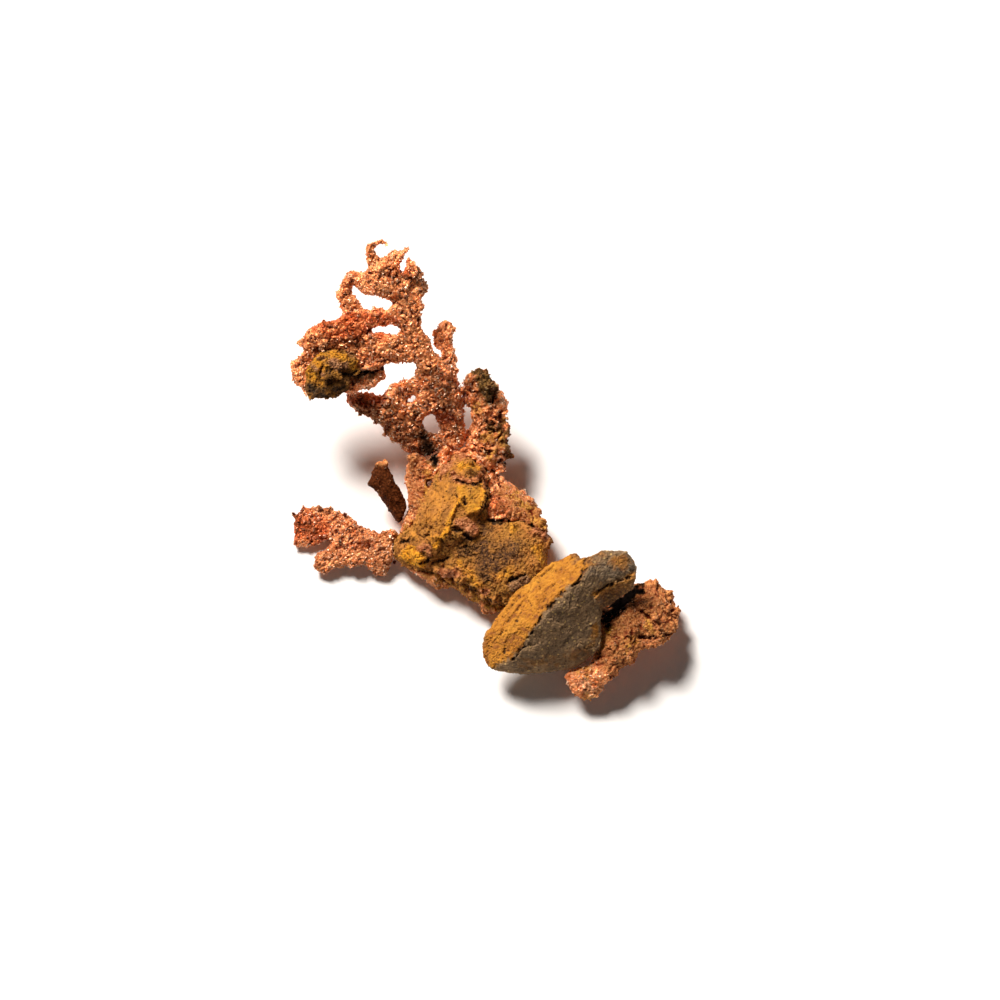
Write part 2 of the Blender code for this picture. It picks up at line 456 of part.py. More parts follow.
def stand_on_bench(obj):
    """Cuts off what reaches below the bench, leaving flat places to rest on."""
    bm = bmesh.new()
    bm.from_mesh(obj.data)
    if min(v.co.z for v in bm.verts) < 0:
        geometry = bm.verts[:] + bm.edges[:] + bm.faces[:]
        bmesh.ops.bisect_plane(
            bm, geom=geometry, dist=1e-7, plane_co=(0, 0, 0), plane_no=(0, 0, 1), clear_inner=True)
        rim = [e for e in bm.edges if e.is_boundary]
        bmesh.ops.holes_fill(bm, edges=rim, sides=0)
        bmesh.ops.triangulate(bm, faces=bm.faces[:])
    bmesh.ops.recalc_face_normals(bm, faces=bm.faces[:])
    bm.to_mesh(obj.data)
    bm.free()


def finish_for(name, colour, roughness, metallic):
    material = bpy.data.materials.new(name)
    material.use_nodes = True
    shader = material.node_tree.nodes["Principled BSDF"]
    shader.inputs["Base Color"].default_value = (*colour, 1.0)
    shader.inputs["Roughness"].default_value = roughness
    shader.inputs["Metallic"].default_value = metallic
    material.diffuse_color = (*colour, 1.0)
    return material


def grown_piece(name, strokes, faces, section, voxel, seed=None):
    """A piece built up from strokes, with studs along them when it has a seed."""
    facing = Vector(faces).normalized()
    rng = random.Random(seed)
    bm = bmesh.new()
    for points in strokes.values():
        path = add_stroke(bm, points, facing, section)
        if seed is not None:
            add_studs(bm, path, facing, section, rng)
    obj = new_object(name, bm)
    add_skin(obj, voxel)
    apply_modifiers(obj)
    roughen(obj, *CRUMPLE[section], voxel)
    keep_largest(obj)
    return obj


def rock_piece(name):
    """The chip: broken faces that meet at a ridge, and a blunt end."""
    bm = bmesh.new()
    for corners in (ROCK_BODY, ROCK_END):
        verts = [bm.verts.new(sighted(*corner)) for corner in corners]
        hull = bmesh.ops.convex_hull(bm, input=verts)
        inside = [v for v in hull["geom_interior"] if isinstance(v, bmesh.types.BMVert)]
        bmesh.ops.delete(bm, geom=inside, context="VERTS")
    obj = new_object(name, bm)
    add_skin(obj, ROCK_VOXEL)
    apply_modifiers(obj)
    roughen(obj, *ROCK_WEAR, ROCK_VOXEL)
    return obj


def sighted_prism(outline, heights):
    """A helper solid with this outline on the drawing plane, running along the sight line."""
    bm = bmesh.new()
    rings = [[bm.verts.new(sighted(*corner, height)) for corner in outline] for height in heights]
    bm.faces.new(rings[0])
    bm.faces.new(rings[1])
    for i in range(len(outline)):
        k = (i + 1) % len(outline)
        bm.faces.new((rings[0][i], rings[0][k], rings[1][k], rings[1][i]))
    bmesh.ops.recalc_face_normals(bm, faces=bm.faces[:])
    return new_object("prism", bm)


def crust_piece(name, mass):
    """The top of the mass inside the crust's outline, down to the crust's depth."""
    crust = swollen_copy(mass, 0.0)
    crust.name = name
    cut_with(crust, sighted_prism(CRUST_OUTLINE, CRUST_HEIGHTS), "INTERSECT")
    beneath = swollen_copy(mass, 0.0)
    beneath.location = sighted(0.0, 0.0, -CRUST_DEEP) * MM
    cut_with(crust, beneath)
    return crust


def build():
    for obj in list(bpy.data.objects):
        bpy.data.objects.remove(obj, do_unlink=True)

    rock = rock_piece("matrix_rock")
    clump = grown_piece("limonite_clump", CLUMP_STROKES, FAN_FACES, LUMP, COPPER_VOXEL)
    core = grown_piece("copper_core", MASS_STROKES, UP, LUMP, MASS_VOXEL, seed=3)
    crust = crust_piece("ochre_crust", core)
    cut_with(core, sighted_prism(CORE_HOLE, CORE_HOLE_HEIGHTS))
    lobe = grown_piece("copper_lower_lobe", LOBE_STROKES, UP, LUMP, MASS_VOXEL, seed=5)
    fan = grown_piece("copper_fan", FAN_STROKES, FAN_FACES, SHEET, COPPER_VOXEL, seed=7)
    for outline in FAN_HOLES:
        cut_with(fan, sighted_prism(outline, FAN_HOLE_HEIGHTS))
    branch = grown_piece("copper_side_branch", BRANCH_STROKES, FAN_FACES, LUMP, COPPER_VOXEL, seed=9)
    blade = grown_piece("copper_blade", BLADE_STROKES, BLADE_FACES, SHEET, COPPER_VOXEL)
    frond = grown_piece("copper_left_frond", FROND_STROKES, FROND_FACES, SHEET, COPPER_VOXEL, seed=11)
    cut_with(frond, sighted_prism(FROND_SLIT, FROND_SLIT_HEIGHTS))
    add_skin(frond, COPPER_VOXEL)
    apply_modifiers(frond)
    pieces = [rock, clump, crust, core, lobe, fan, branch, blade, frond]

    for i, piece in enumerate(pieces):
        for earlier in pieces[:i]:
            if boxes_meet(piece, earlier):
                cut_back(piece, earlier)
                if piece is frond:  # so thin that each cut leaves slivers
                    add_skin(piece, FINAL_VOXEL)
                    apply_modifiers(piece)
        add_skin(piece, FINAL_VOXEL)
        thin_out(piece, TRIANGLES[piece.name])
        keep_largest(piece)
        stand_on_bench(piece)

    finishes = {
        "matrix_rock": finish_for("grey siltstone", (0.10, 0.085, 0.065), 0.85, 0.0),
        "limonite_clump": finish_for("limonite", (0.42, 0.23, 0.02), 0.95, 0.0),
        "ochre_crust": finish_for("earthy ochre", (0.50, 0.24, 0.03), 0.95, 0.0),
    }
    copper = finish_for("native copper", (0.72, 0.30, 0.16), 0.38, 1.0)
    for piece in pieces:
        piece.data.materials.clear()
        piece.data.materials.append(finishes.get(piece.name, copper))

    low = Vector([min(v.co[k] for p in pieces for v in p.data.vertices) for k in range(3)])
    high = Vector([max(v.co[k] for p in pieces for v in p.data.vertices) for k in range(3)])
    nugget = bpy.data.objects.new("nugget", None)
    bpy.context.scene.collection.objects.link(nugget)
    nugget.location = (-(low.x + high.x) / 2, -(low.y + high.y) / 2, -low.z)
    for piece in pieces:
        piece.parent = nugget


build()
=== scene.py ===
"""The finished look of a native copper nugget: crumpled copper set with small crystals, an ochre crust,
a lump of limonite caught in the fan, and a chip of dark rock with one ochre face.

Each piece starts as a copy of the solid that it stands for. It is skinned finely, crumpled, cut with its
own cracks and pits, washed with its own colours and with painted light and shade, and strewn with crystals
or grains.

Sizes are millimetres. A mark is placed on the drawing plane, (across, along), which is square to a sight
line 70 degrees above the bench. drawn() finds where a point of a piece lies on that plane.
"""
import math

import bmesh
import bpy
import numpy as np
from mathutils import Euler, Matrix, Vector, noise


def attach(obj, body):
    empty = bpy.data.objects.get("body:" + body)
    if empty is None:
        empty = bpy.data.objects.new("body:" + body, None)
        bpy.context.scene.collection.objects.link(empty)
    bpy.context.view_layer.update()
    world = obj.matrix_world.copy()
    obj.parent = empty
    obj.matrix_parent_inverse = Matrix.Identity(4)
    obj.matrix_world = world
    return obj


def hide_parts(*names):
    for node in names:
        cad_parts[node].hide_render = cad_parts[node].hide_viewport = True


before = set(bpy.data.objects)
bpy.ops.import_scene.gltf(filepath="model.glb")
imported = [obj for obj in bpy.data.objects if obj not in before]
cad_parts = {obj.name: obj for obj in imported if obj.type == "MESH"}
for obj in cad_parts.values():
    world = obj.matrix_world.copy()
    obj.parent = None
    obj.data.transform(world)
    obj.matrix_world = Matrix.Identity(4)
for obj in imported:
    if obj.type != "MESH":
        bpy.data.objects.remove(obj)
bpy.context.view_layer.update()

MM = 0.001
SIGHT_DEG = 70.0
SIGHT = Vector((0.0, -math.cos(math.radians(SIGHT_DEG)), math.sin(math.radians(SIGHT_DEG))))
DRAWING_ORIGIN = (1.439, 0.325)  # the drawing plane's middle, on the bench, in millimetres
VIEW_WIDTH = 100.0  # how much of the bench the camera takes in, in millimetres
CAMERA_AWAY = 2.0  # metres
LAMP_AWAY = 1.0  # metres
BENCH_SIZE = 3.0  # metres
SENSOR = 36.0  # the camera's sensor, in millimetres
FINE = 0.12  # the finest voxels that a piece is skinned with, in millimetres

# -------- points of a piece


def places(piece):
    """Every point of a piece, in millimetres."""
    co = np.empty(len(piece.data.vertices) * 3, np.float32)
    piece.data.vertices.foreach_get("co", co)
    return co.reshape(-1, 3).astype(float) / MM


def normals(piece):
    n = np.empty(len(piece.data.vertices) * 3, np.float32)
    piece.data.vertices.foreach_get("normal", n)
    return n.reshape(-1, 3).astype(float)


def move_to(piece, points):
    piece.data.vertices.foreach_set("co", (points * MM).astype(np.float32).ravel())
    piece.data.update()


def drawn(points):
    """Where points lie on the drawing plane."""
    across = points[:, 0] - DRAWING_ORIGIN[0]
    along = (points[:, 1] - DRAWING_ORIGIN[1]) * SIGHT.z - points[:, 2] * SIGHT.y
    return np.stack([across, along], axis=1)


def lies_within(flat, shape):
    """How far inside a shape each flat point lies, negative outside it.

    A shape is an outline of (across, along) corners or a stroke of (across, along, half width) points.
    """
    if len(shape[0]) == 3:
        best = np.full(len(flat), -1e3)
        ends = list(zip(shape, shape[1:])) or [(shape[0], shape[0])]
        for a, b in ends:
            start, run = np.array(a[:2]), np.array(b[:2]) - np.array(a[:2])
            share = ((flat - start) @ run) / max(run @ run, 1e-9)
            share = share.clip(0, 1)
            away = np.linalg.norm(flat - start - share[:, None] * run, axis=1)
            best = np.maximum(best, a[2] + (b[2] - a[2]) * share - away)
        return best
    away = np.full(len(flat), 1e3)
    within = np.zeros(len(flat), bool)
    for a, b in zip(shape, [*shape[1:], shape[0]]):
        start, run = np.array(a), np.array(b) - np.array(a)
        share = (((flat - start) @ run) / (run @ run)).clip(0, 1)
        away = np.minimum(away, np.linalg.norm(flat - start - share[:, None] * run, axis=1))
        crosses = (a[1] > flat[:, 1]) != (b[1] > flat[:, 1])
        rise = (b[1] - a[1]) or 1e-9
        left = flat[:, 0] < a[0] + (flat[:, 1] - a[1]) * (b[0] - a[0]) / rise
        within ^= crosses & left
    return np.where(within, away, -away)


def smooth_step(x):
    x = np.clip(x, 0.0, 1.0)
    return x * x * (3.0 - 2.0 * x)


def solid_noise(points, size, shift=0.0):
    """Noise from -1 to 1 whose lumps are about that size, in millimetres."""
    moved = points / size + shift
    return np.array([noise.noise(p) + 0.5 * noise.noise(p * 2.3) for p in map(Vector, moved)])


def cover(piece, shapes, soft, ragged, shift=0.0, least_facing=-0.15):
    """How much each point of a piece is covered by shapes, from the side that the drawing plane faces."""
    points = places(piece)
    flat = drawn(points)
    within = np.max([lies_within(flat, shape) for shape in shapes], axis=0)
    near = within > -soft - 2 * ragged
    amount = np.zeros(len(points))
    if near.any():
        wander = ragged * solid_noise(points[near], 0.7, shift)
        amount[near] = smooth_step((within[near] + wander) / soft + 0.5)
    facing = normals(piece) @ np.array(SIGHT)
    return amount * smooth_step((facing - least_facing) / 0.3 + 0.5)


def turned(points, degrees):
    """Points turned about the vertical, so that a direction on the bench comes to lie along X."""
    c, n = math.cos(math.radians(degrees)), math.sin(math.radians(degrees))
    return np.stack([c * points[:, 0] + n * points[:, 1], c * points[:, 1] - n * points[:, 0],
                     points[:, 2]], axis=1)


def fragments(points, size, shift):
    """Splits space into cells: each point's own share from 0 to 1, the same all over its cell, and how
    far it lies from the cell's edge, as a share of the size."""
    share, inward = np.empty(len(points)), np.empty(len(points))
    for i, p in enumerate(map(Vector, points / np.array(size) + shift)):
        away, middles = noise.voronoi(p)
        share[i] = 0.5 + 0.5 * noise.cell(middles[0] * 7.3)
        inward[i] = away[1] - away[0]
    return share, inward


def on_surface(piece, across, along):
    """The place on the side facing the sight line that is drawn at (across, along)."""
    points = places(piece)
    away = np.linalg.norm(drawn(points) - (across, along), axis=1)
    origin = np.array((*DRAWING_ORIGIN, 0.0))
    depth = ((points[away < max(0.3, away.min() + 0.05)] - origin) @ np.array(SIGHT)).max()
    return Vector(origin) + Vector((across, along * SIGHT.z, -along * SIGHT.y)) + SIGHT * depth


# -------- shaping


def only(piece):
    """Selects a piece alone."""
    bpy.ops.object.select_all(action="DESELECT")
    piece.select_set(True)
    bpy.context.view_layer.objects.active = piece


def modify(piece, kind, **settings):
    """Adds a modifier with its settings and applies it."""
    only(piece)
    modifier = piece.modifiers.new(kind.title(), kind)
    for key, value in settings.items():
        setattr(modifier, key, value)
    bpy.ops.object.modifier_apply(modifier=modifier.name)


def copy_of(node, name):
    """A copy of a solid, its loose triangles merged into one closed surface."""
    piece = bpy.data.objects.new(name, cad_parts[node].data.copy())
    bpy.context.scene.collection.objects.link(piece)
    piece.data.materials.clear()
    only(piece)
    bpy.ops.object.mode_set(mode="EDIT")
    bpy.ops.mesh.select_all(action="SELECT")
    bpy.ops.mesh.remove_doubles(threshold=0.001 * MM)
    bpy.ops.mesh.normals_make_consistent(inside=False)
    bpy.ops.object.mode_set(mode="OBJECT")
    return piece


def skin(piece, voxel, smooth=0):
    """Gives a piece one closed skin of small even faces."""
    modify(piece, "REMESH", mode="VOXEL", voxel_size=voxel * MM)
    if smooth:
        modify(piece, "SMOOTH", factor=0.5, iterations=smooth)


def grain(name, kind, size, **settings):
    """A texture for displacing, with lumps of a real size."""
    texture = bpy.data.textures.new(name, kind)
    texture.noise_scale = size * MM
    for key, value in settings.items():
        setattr(texture, key, value)
    return texture


def push(piece, texture, depth, middle=0.5, group=""):
    """Displaces a surface along its normals by a texture, by so many millimetres in all."""
    modify(piece, "DISPLACE", texture=texture, texture_coords="LOCAL", strength=depth * MM,
           mid_level=middle, vertex_group=group)


def swell(piece, by):
    modify(piece, "DISPLACE", strength=by * MM, mid_level=0.0)


def press(piece, shapes, depth, soft=0.2, ragged=0.12, shift=0.0):
    """Sinks shapes into the side that faces the sight line. A negative depth raises them."""
    amount = cover(piece, shapes, soft, ragged, shift)
    move_to(piece, places(piece) - depth * amount[:, None] * np.array(SIGHT))
    return amount


def shatter(piece, amount, size, step, gap, shift, turn=0.0):
    """Breaks a surface into angular fragments that stand at different heights, with cracks between them."""
    points, outward = places(piece), normals(piece)
    wavy = points + 0.25 * solid_noise(points, 0.8, shift)[:, None]
    share, inward = fragments(turned(wavy, turn), size, shift)
    edge = 1.0 - smooth_step(inward / 0.16)
    move_to(piece, points + outward * (amount * ((share - 0.5) * step - edge * gap))[:, None])
    return amount * edge


def cluster(piece, size, bulge, shift):
    """Gathers a surface into rounded nuggets with creases between them."""
    points, outward = places(piece), normals(piece)
    share, inward = fragments(points + 0.3 * size * solid_noise(points, size, shift)[:, None], size, shift)
    rise = (0.6 + 0.8 * share) * smooth_step(inward / 0.45) - 0.6
    move_to(piece, points + outward * (bulge * rise)[:, None])


def crack(piece, depth, stain_and_shade, *strokes):
    """Opens thin ragged cracks that fade in and out along their length, with painted shade inside them as
    dark as the amount given after the depth.
    """
    points = places(piece)
    amount = cover(piece, strokes, 0.12, 0.28)
    some = amount > 0
    amount[some] *= smooth_step(1.1 * solid_noise(points[some], 0.45, 9.0) + 0.85)
    move_to(piece, points - depth * amount[:, None] * np.array(SIGHT))
    # painted shade inside the cracks
    wash(piece, "dark", stain_and_shade * amount)


def buds(piece, spots, seed, sink=0.45):
    """Adds rounded, slightly flattened buds of (across, along, radius), partly sunk in the surface."""
    rng = np.random.default_rng(seed)
    bm = bmesh.new()
    bm.from_mesh(piece.data)
    for across, along, radius in spots:
        middle = on_surface(piece, across, along) - SIGHT * radius * sink
        turn = Euler(rng.uniform(0, math.tau, 3)).to_matrix().to_4x4()
        shape = Matrix.Diagonal((*(radius * rng.uniform(0.75, 1.1, 3)), 1.0))
        bmesh.ops.create_icosphere(bm, subdivisions=2, radius=MM,
                                   matrix=Matrix.Translation(middle * MM) @ turn @ shape)
    bm.to_mesh(piece.data)
    bm.free()


def paint(piece, layer, amount, soft, ragged, *shapes):
    """Washes a colour layer over shapes on the side that faces the sight line, by an amount from 0 to 1,
    with an edge that is so soft and so ragged, in millimetres."""
    wash(piece, layer, amount * cover(piece, shapes, soft, ragged))


def group_of(piece, name, amount):
    """Keeps a cover as a vertex group, to limit a displacement to it."""
    group = piece.vertex_groups.new(name=name)
    steps = np.round(amount * 10).astype(int)
    for step in range(1, 11):
        members = np.nonzero(steps == step)[0].tolist()
        if members:
            group.add(members, step / 10, "REPLACE")
    return name


def wash(piece, layer, amount):
    """Lays a colour layer on a piece, over what it already has of it."""
    values = np.zeros(len(piece.data.vertices), np.float32)
    attribute = piece.data.attributes.get(layer)
    if attribute:
        attribute.data.foreach_get("value", values)
    else:
        attribute = piece.data.attributes.new(layer, "FLOAT", "POINT")
    attribute.data.foreach_set("value", np.maximum(values, amount).astype(np.float32))


def smoothed(points, edges, rounds):
    """Points moved again and again to the middle of their neighbours."""
    a, b = edges[:, 0], edges[:, 1]
    count = np.bincount(a, minlength=len(points)) + np.bincount(b, minlength=len(points))
    for _ in range(rounds):
        total = np.stack([np.bincount(a, points[b, k], len(points))
                          + np.bincount(b, points[a, k], len(points)) for k in range(3)], axis=1)
        points = 0.5 * points + 0.5 * total / np.maximum(count, 1)[:, None]
    return points


def read_relief(piece, fine=0.09, broad=0.30):
    """Lays the layer "hollow": how far points lie below what is round them."""
    points, outward = places(piece), normals(piece)
    edges = np.empty(len(piece.data.edges) * 2, np.int32)
    piece.data.edges.foreach_get("vertices", edges)
    edges = edges.reshape(-1, 2)
    near = smoothed(points, edges, 6)
    far = smoothed(near, edges, 30)
    sunk = ((near - points) * outward).sum(1) / fine + ((far - points) * outward).sum(1) / broad
    wash(piece, "hollow", (sunk / 2).clip(0, 1))


def thin_to(piece, triangles):
    now = sum(len(p.vertices) - 2 for p in piece.data.polygons)
    if now > triangles:
        modify(piece, "DECIMATE", ratio=triangles / now)


def stand(piece):
    """Flattens what would dip under the bench."""
    points = places(piece)
    points[:, 2] = points[:, 2].clip(0.0)
    move_to(piece, points)


# -------- crystals and grains


def add(tree, kind, settings=None, inputs=None):
    """Adds a node to a tree, with its settings and with its inputs set or linked."""
    node = tree.nodes.new(kind)
    for key, value in (settings or {}).items():
        setattr(node, key, value)
    for key, value in (inputs or {}).items():
        if isinstance(value, bpy.types.NodeSocket):
            tree.links.new(value, node.inputs[key])
        else:
            node.inputs[key].default_value = value
    return node


def strewing(name, per_mm2, smallest, largest, seed, sides):
    """Nodes that strew small angular crystals over a surface and join them to it. The layer "tone" differs
    from crystal to crystal, and "proud" grows from 0 at the surface to 1 at a crystal's tip."""
    tree = bpy.data.node_groups.new(name, "GeometryNodeTree")
    tree.interface.new_socket("Geometry", in_out="INPUT", socket_type="NodeSocketGeometry")
    tree.interface.new_socket("Geometry", in_out="OUTPUT", socket_type="NodeSocketGeometry")
    surface = add(tree, "NodeGroupInput").outputs[0]
    bare = add(tree, "GeometryNodeInputNamedAttribute", {"data_type": "FLOAT"}, {"Name": "bare"})
    amount = add(tree, "ShaderNodeMath", {"operation": "MULTIPLY_ADD"},
                 {0: bare.outputs[0], 1: -per_mm2 / MM ** 2, 2: per_mm2 / MM ** 2})
    spread = add(tree, "GeometryNodeDistributePointsOnFaces", None,
                 {"Mesh": surface, "Density": amount.outputs[0], "Seed": seed})
    crystal = add(tree, "GeometryNodeMeshUVSphere", None, {"Segments": sides, "Rings": 2, "Radius": 1.0})
    turn = add(tree, "FunctionNodeRandomValue", {"data_type": "FLOAT_VECTOR"},
               {0: (0.0, 0.0, 0.0), 1: (math.tau,) * 3, "Seed": seed + 1})
    size = add(tree, "FunctionNodeRandomValue", {"data_type": "FLOAT_VECTOR"},
               {0: tuple(v * MM for v in smallest), 1: tuple(v * MM for v in largest), "Seed": seed + 2})
    tone = add(tree, "FunctionNodeRandomValue", {"data_type": "FLOAT"}, {2: 0.0, 3: 1.0, "Seed": seed + 3})
    placed = add(tree, "GeometryNodeInstanceOnPoints", None,
                 {"Points": spread.outputs["Points"], "Instance": crystal.outputs["Mesh"],
                  "Rotation": turn.outputs[0], "Scale": size.outputs[0]})
    toned = add(tree, "GeometryNodeStoreNamedAttribute", {"data_type": "FLOAT", "domain": "INSTANCE"},
                {"Geometry": placed.outputs[0], "Name": "tone", "Value": tone.outputs[1]})
    real = add(tree, "GeometryNodeRealizeInstances", None, {0: toned.outputs[0]})
    away = add(tree, "GeometryNodeProximity", {"target_element": "FACES"}, {"Geometry": surface})
    height = add(tree, "ShaderNodeMath", {"operation": "MULTIPLY", "use_clamp": True},
                 {0: away.outputs["Distance"], 1: 1.0 / (0.6 * largest[0] * MM)})
    risen = add(tree, "GeometryNodeStoreNamedAttribute", {"data_type": "FLOAT", "domain": "POINT"},
                {"Geometry": real.outputs[0], "Name": "proud", "Value": height.outputs[0]})
    both = add(tree, "GeometryNodeJoinGeometry", None, {0: surface})
    tree.links.new(risen.outputs[0], both.inputs[0])
    add(tree, "NodeGroupOutput", None, {0: both.outputs[0]})
    return tree


def strew(piece, per_mm2, smallest, largest, seed, sides=4):
    tree = strewing(piece.name + "_strewing", per_mm2, smallest, largest, seed, sides)
    modify(piece, "NODES", node_group=tree)


# -------- materials


def colour(hex_text):
    """sRGB hex to the linear colour that a socket takes."""
    parts = [int(hex_text[i:i + 2], 16) / 255 for i in (0, 2, 4)]
    return (*[c / 12.92 if c <= 0.04045 else ((c + 0.055) / 1.055) ** 2.4 for c in parts], 1.0)


def per(size):
    """The texture scale that gives features of a size in millimetres."""
    return 1.0 / (size * MM)


def blank(name, patterns, layers):
    """A material, its nodes, its surface shader, and by name all that its coats go by.

    A pattern is noise on the Object coordinates: (size in millimetres, detail, roughness), and for a
    streaked one also the degrees it is turned and how it is stretched. A layer is one washed on a piece.
    """
    material = bpy.data.materials.new(name)
    material.use_nodes = True
    tree = material.node_tree
    at = {"spot": add(tree, "ShaderNodeTexCoord").outputs["Object"]}
    for key, (size, detail, rough, *streaked) in patterns.items():
        spot = at["spot"]
        if streaked:
            turn, stretch = streaked
            spot = add(tree, "ShaderNodeMapping", None, {
                "Vector": spot, "Rotation": (0.0, 0.0, math.radians(turn)), "Scale": stretch}).outputs[0]
        at[key] = add(tree, "ShaderNodeTexNoise", None, {
            "Vector": spot, "Scale": per(size), "Detail": detail, "Roughness": rough}).outputs["Fac"]
    for key in layers.split():
        at[key] = add(tree, "ShaderNodeAttribute", {"attribute_name": key}).outputs["Fac"]
    return material, tree, tree.nodes["Principled BSDF"], at


def masked(tree, at, *masks):
    """How much of a coat lies at each point: its masks multiplied together.

    A mask is a name or a number, or (name, low, high, least, most), which eases from least to most as
    the named value goes from low to high.
    """
    total = None
    for mask in masks:
        if isinstance(mask, tuple):
            key, low, high, least, most = mask
            mask = add(tree, "ShaderNodeMapRange", {"interpolation_type": "SMOOTHSTEP"},
                       {0: at[key], 1: low, 2: high, 3: least, 4: most}).outputs[0]
        mask = at[mask] if isinstance(mask, str) else mask
        total = mask if total is None else add(
            tree, "ShaderNodeMath", {"operation": "MULTIPLY", "use_clamp": True},
            {0: total, 1: mask}).outputs[0]
    return total


def coated(tree, at, base, coats):
    """Colours laid one over another. A coat is a colour and its masks. A colour is a hex text, the result
    of other coats, or (first, second, name, low, high), which goes from one to the other."""
    for over, *masks in coats:
        below, above = [colour(c) if isinstance(c, str)
                        else coated(tree, at, c[0], [(c[1], (*c[2:], 0.0, 1.0))]) if isinstance(c, tuple)
                        else c for c in (base, over)]
        base = add(tree, "ShaderNodeMix", {"data_type": "RGBA"},
                   {0: masked(tree, at, *masks), 6: below, 7: above}).outputs[2]
    return base


def surfaced(tree, shader, base, height, depth):
    """Gives the shader its colour, and a fine grain of a depth in millimetres."""
    tree.links.new(base, shader.inputs["Base Color"])
    bump = add(tree, "ShaderNodeBump", None, {"Height": height, "Strength": 1.0, "Distance": depth * MM})
    tree.links.new(bump.outputs[0], shader.inputs["Normal"])


def native_copper():
    """Native copper, grown and not worked: pinkish crystals with painted highlights and glints, red and
    brown where it lies deep (partly tarnish, partly painted shade), dulled to a matt brown where it is
    weathered, with earthy ochre and dark greenish-brown patches on it, and black painted shade in its
    cracks and where other parts shade it."""
    material, tree, shader, at = blank(
        "native_copper_tarnished", {"mottle": (1.1, 3.0, 0.6), "fine": (0.2, 2.0, 0.6)},
        "tone proud hollow dark matt bright red shade ochre moss")
    at["shaded"] = masked(tree, at, "shade", ("proud", 0.0, 0.8, 1.0, 0.45))
    at["dusty"] = masked(tree, at, "ochre", ("fine", 0.30, 0.55, 0.45, 1.0))
    weathered = coated(tree, at, ("8A4C20", "DA9654", "fine", 0.38, 0.64),
                       [("B87250", ("mottle", 0.42, 0.66, 0.0, 0.45))])
    base = coated(tree, at, ("FFA266", "D86E34", "mottle", 0.35, 0.68), [
        # painted glints: light specks where the fine noise is high
        ("FFC898", ("fine", 0.48, 0.66, 0.0, 0.6)),
        ("942E0E", ("fine", 0.44, 0.34, 0.0, 0.55)),
        ("9A3208", ("tone", 0.55, 1.0, 0.0, 0.7)),  # tarnished crystals
        ("FFDEBE", ("proud", 0.2, 0.7, 0.0, 0.9)),  # painted highlight: the tips of crystals lighter
        ("FFE2C2", ("tone", 0.36, 0.22, 0.0, 1.0), ("proud", 0.05, 0.3, 0.0, 1.0), 0.85),  # painted glints: the crystals of low tone near white
        # painted highlights and glints where the layer 'bright' is washed
        (("FFAE6E", "FFDCBC", "bright", 0.55, 0.95), "bright", ("fine", 0.42, 0.6, 0.2, 0.9)),
        ("D84E14", "red", 0.65),
        (weathered, "matt"),
        (("321204", "602C10", "fine", 0.4, 0.7), "shaded"),
        (("8A5620", "D09A3C", "fine", 0.35, 0.65), "dusty"),
        # partly tarnish, partly painted shade: darker red-brown where the surface lies deep
        ("5C1400", ("hollow", 0.08, 0.6, 0.0, 0.95)),
        (("2A1C08", "785A2C", "fine", 0.40, 0.64), "moss"),
        # painted shade: near black in cracks and where other parts shade the copper
        ("070302", "dark")])
    surfaced(tree, shader, base, at["fine"], 0.10)
    # Dust, moss, weathering and the painted shade 'dark' make the copper dull; painted shade also lowers its
    # specular
    added = {"operation": "ADD", "use_clamp": True}
    dull = at["dusty"]
    for key in ("moss", "matt", "dark"):
        dull = add(tree, "ShaderNodeMath", added, {0: dull, 1: at[key]}).outputs[0]
    at["bare"] = add(tree, "ShaderNodeMath", {"operation": "MULTIPLY_ADD", "use_clamp": True},
                     {0: dull, 1: -0.92, 2: 1.0}).outputs[0]
    at["deep"] = add(tree, "ShaderNodeMath", added, {0: at["dark"], 1: at["shaded"]}).outputs[0]
    for socket, *masks in (("Metallic", "bare", ("proud", 0.0, 0.6, 0.4, 0.75)),
                           ("Roughness", ("bare", 0.0, 1.0, 0.85, 0.36)),
                           ("Specular IOR Level", ("deep", 0.0, 1.0, 0.12, 0.03))):
        tree.links.new(masked(tree, at, *masks), shader.inputs[socket])
    return material


def ochre_crust():
    """Iron ochre: soft, earthy and matt. Tan slabs with bright yellow edges, brown granular stretches, a
    few grey lumps, and copper that shows through."""
    material, tree, shader, at = blank(
        "iron_ochre_earthy", {"mottle": (1.3, 3.0, 0.6), "fine": (0.25, 3.0, 0.7),
                              "streaks": (0.5, 3.0, 0.6, -32, (1.0, 0.22, 1.0))},
        "tone proud hollow dark copper slab bright brown grey")
    slab = coated(tree, at, ("A0641E", "C8842C", "streaks", 0.35, 0.65),
                  [("A46A30", ("mottle", 0.45, 0.7, 0.0, 0.6))])
    base = coated(tree, at, ("A06A22", "B67430", "mottle", 0.35, 0.65), [
        ("C98C3C", ("fine", 0.45, 0.75, 0.0, 0.6)),
        (slab, "slab"),
        (("D08410", "F0AC20", "fine", 0.35, 0.7), "bright"),
        (("44240C", "A06A30", "fine", 0.42, 0.66), "brown"),
        (("8E6240", "B48A62", "fine", 0.42, 0.68), "grey"),
        ("54300E", ("tone", 0.5, 1.0, 0.0, 0.8)),
        # painted highlight: the tips of grains lighter
        ("DCA048", ("proud", 0.5, 1.0, 0.0, 0.35)),
        (("A0562E", "E29A6A", "fine", 0.42, 0.7), "copper"),
        # painted shade where the surface lies deep
        ("54280A", ("hollow", 0.2, 1.0, 0.0, 0.9)),
        # painted shade: near black in cracks and between fragments
        ("1C0E05", "dark")])
    surfaced(tree, shader, base, at["fine"], 0.14)
    tree.links.new(masked(tree, at, "copper", 0.4), shader.inputs["Metallic"])
    tree.links.new(masked(tree, at, ("copper", 0.0, 1.0, 0.92, 0.5)), shader.inputs["Roughness"])
    return material


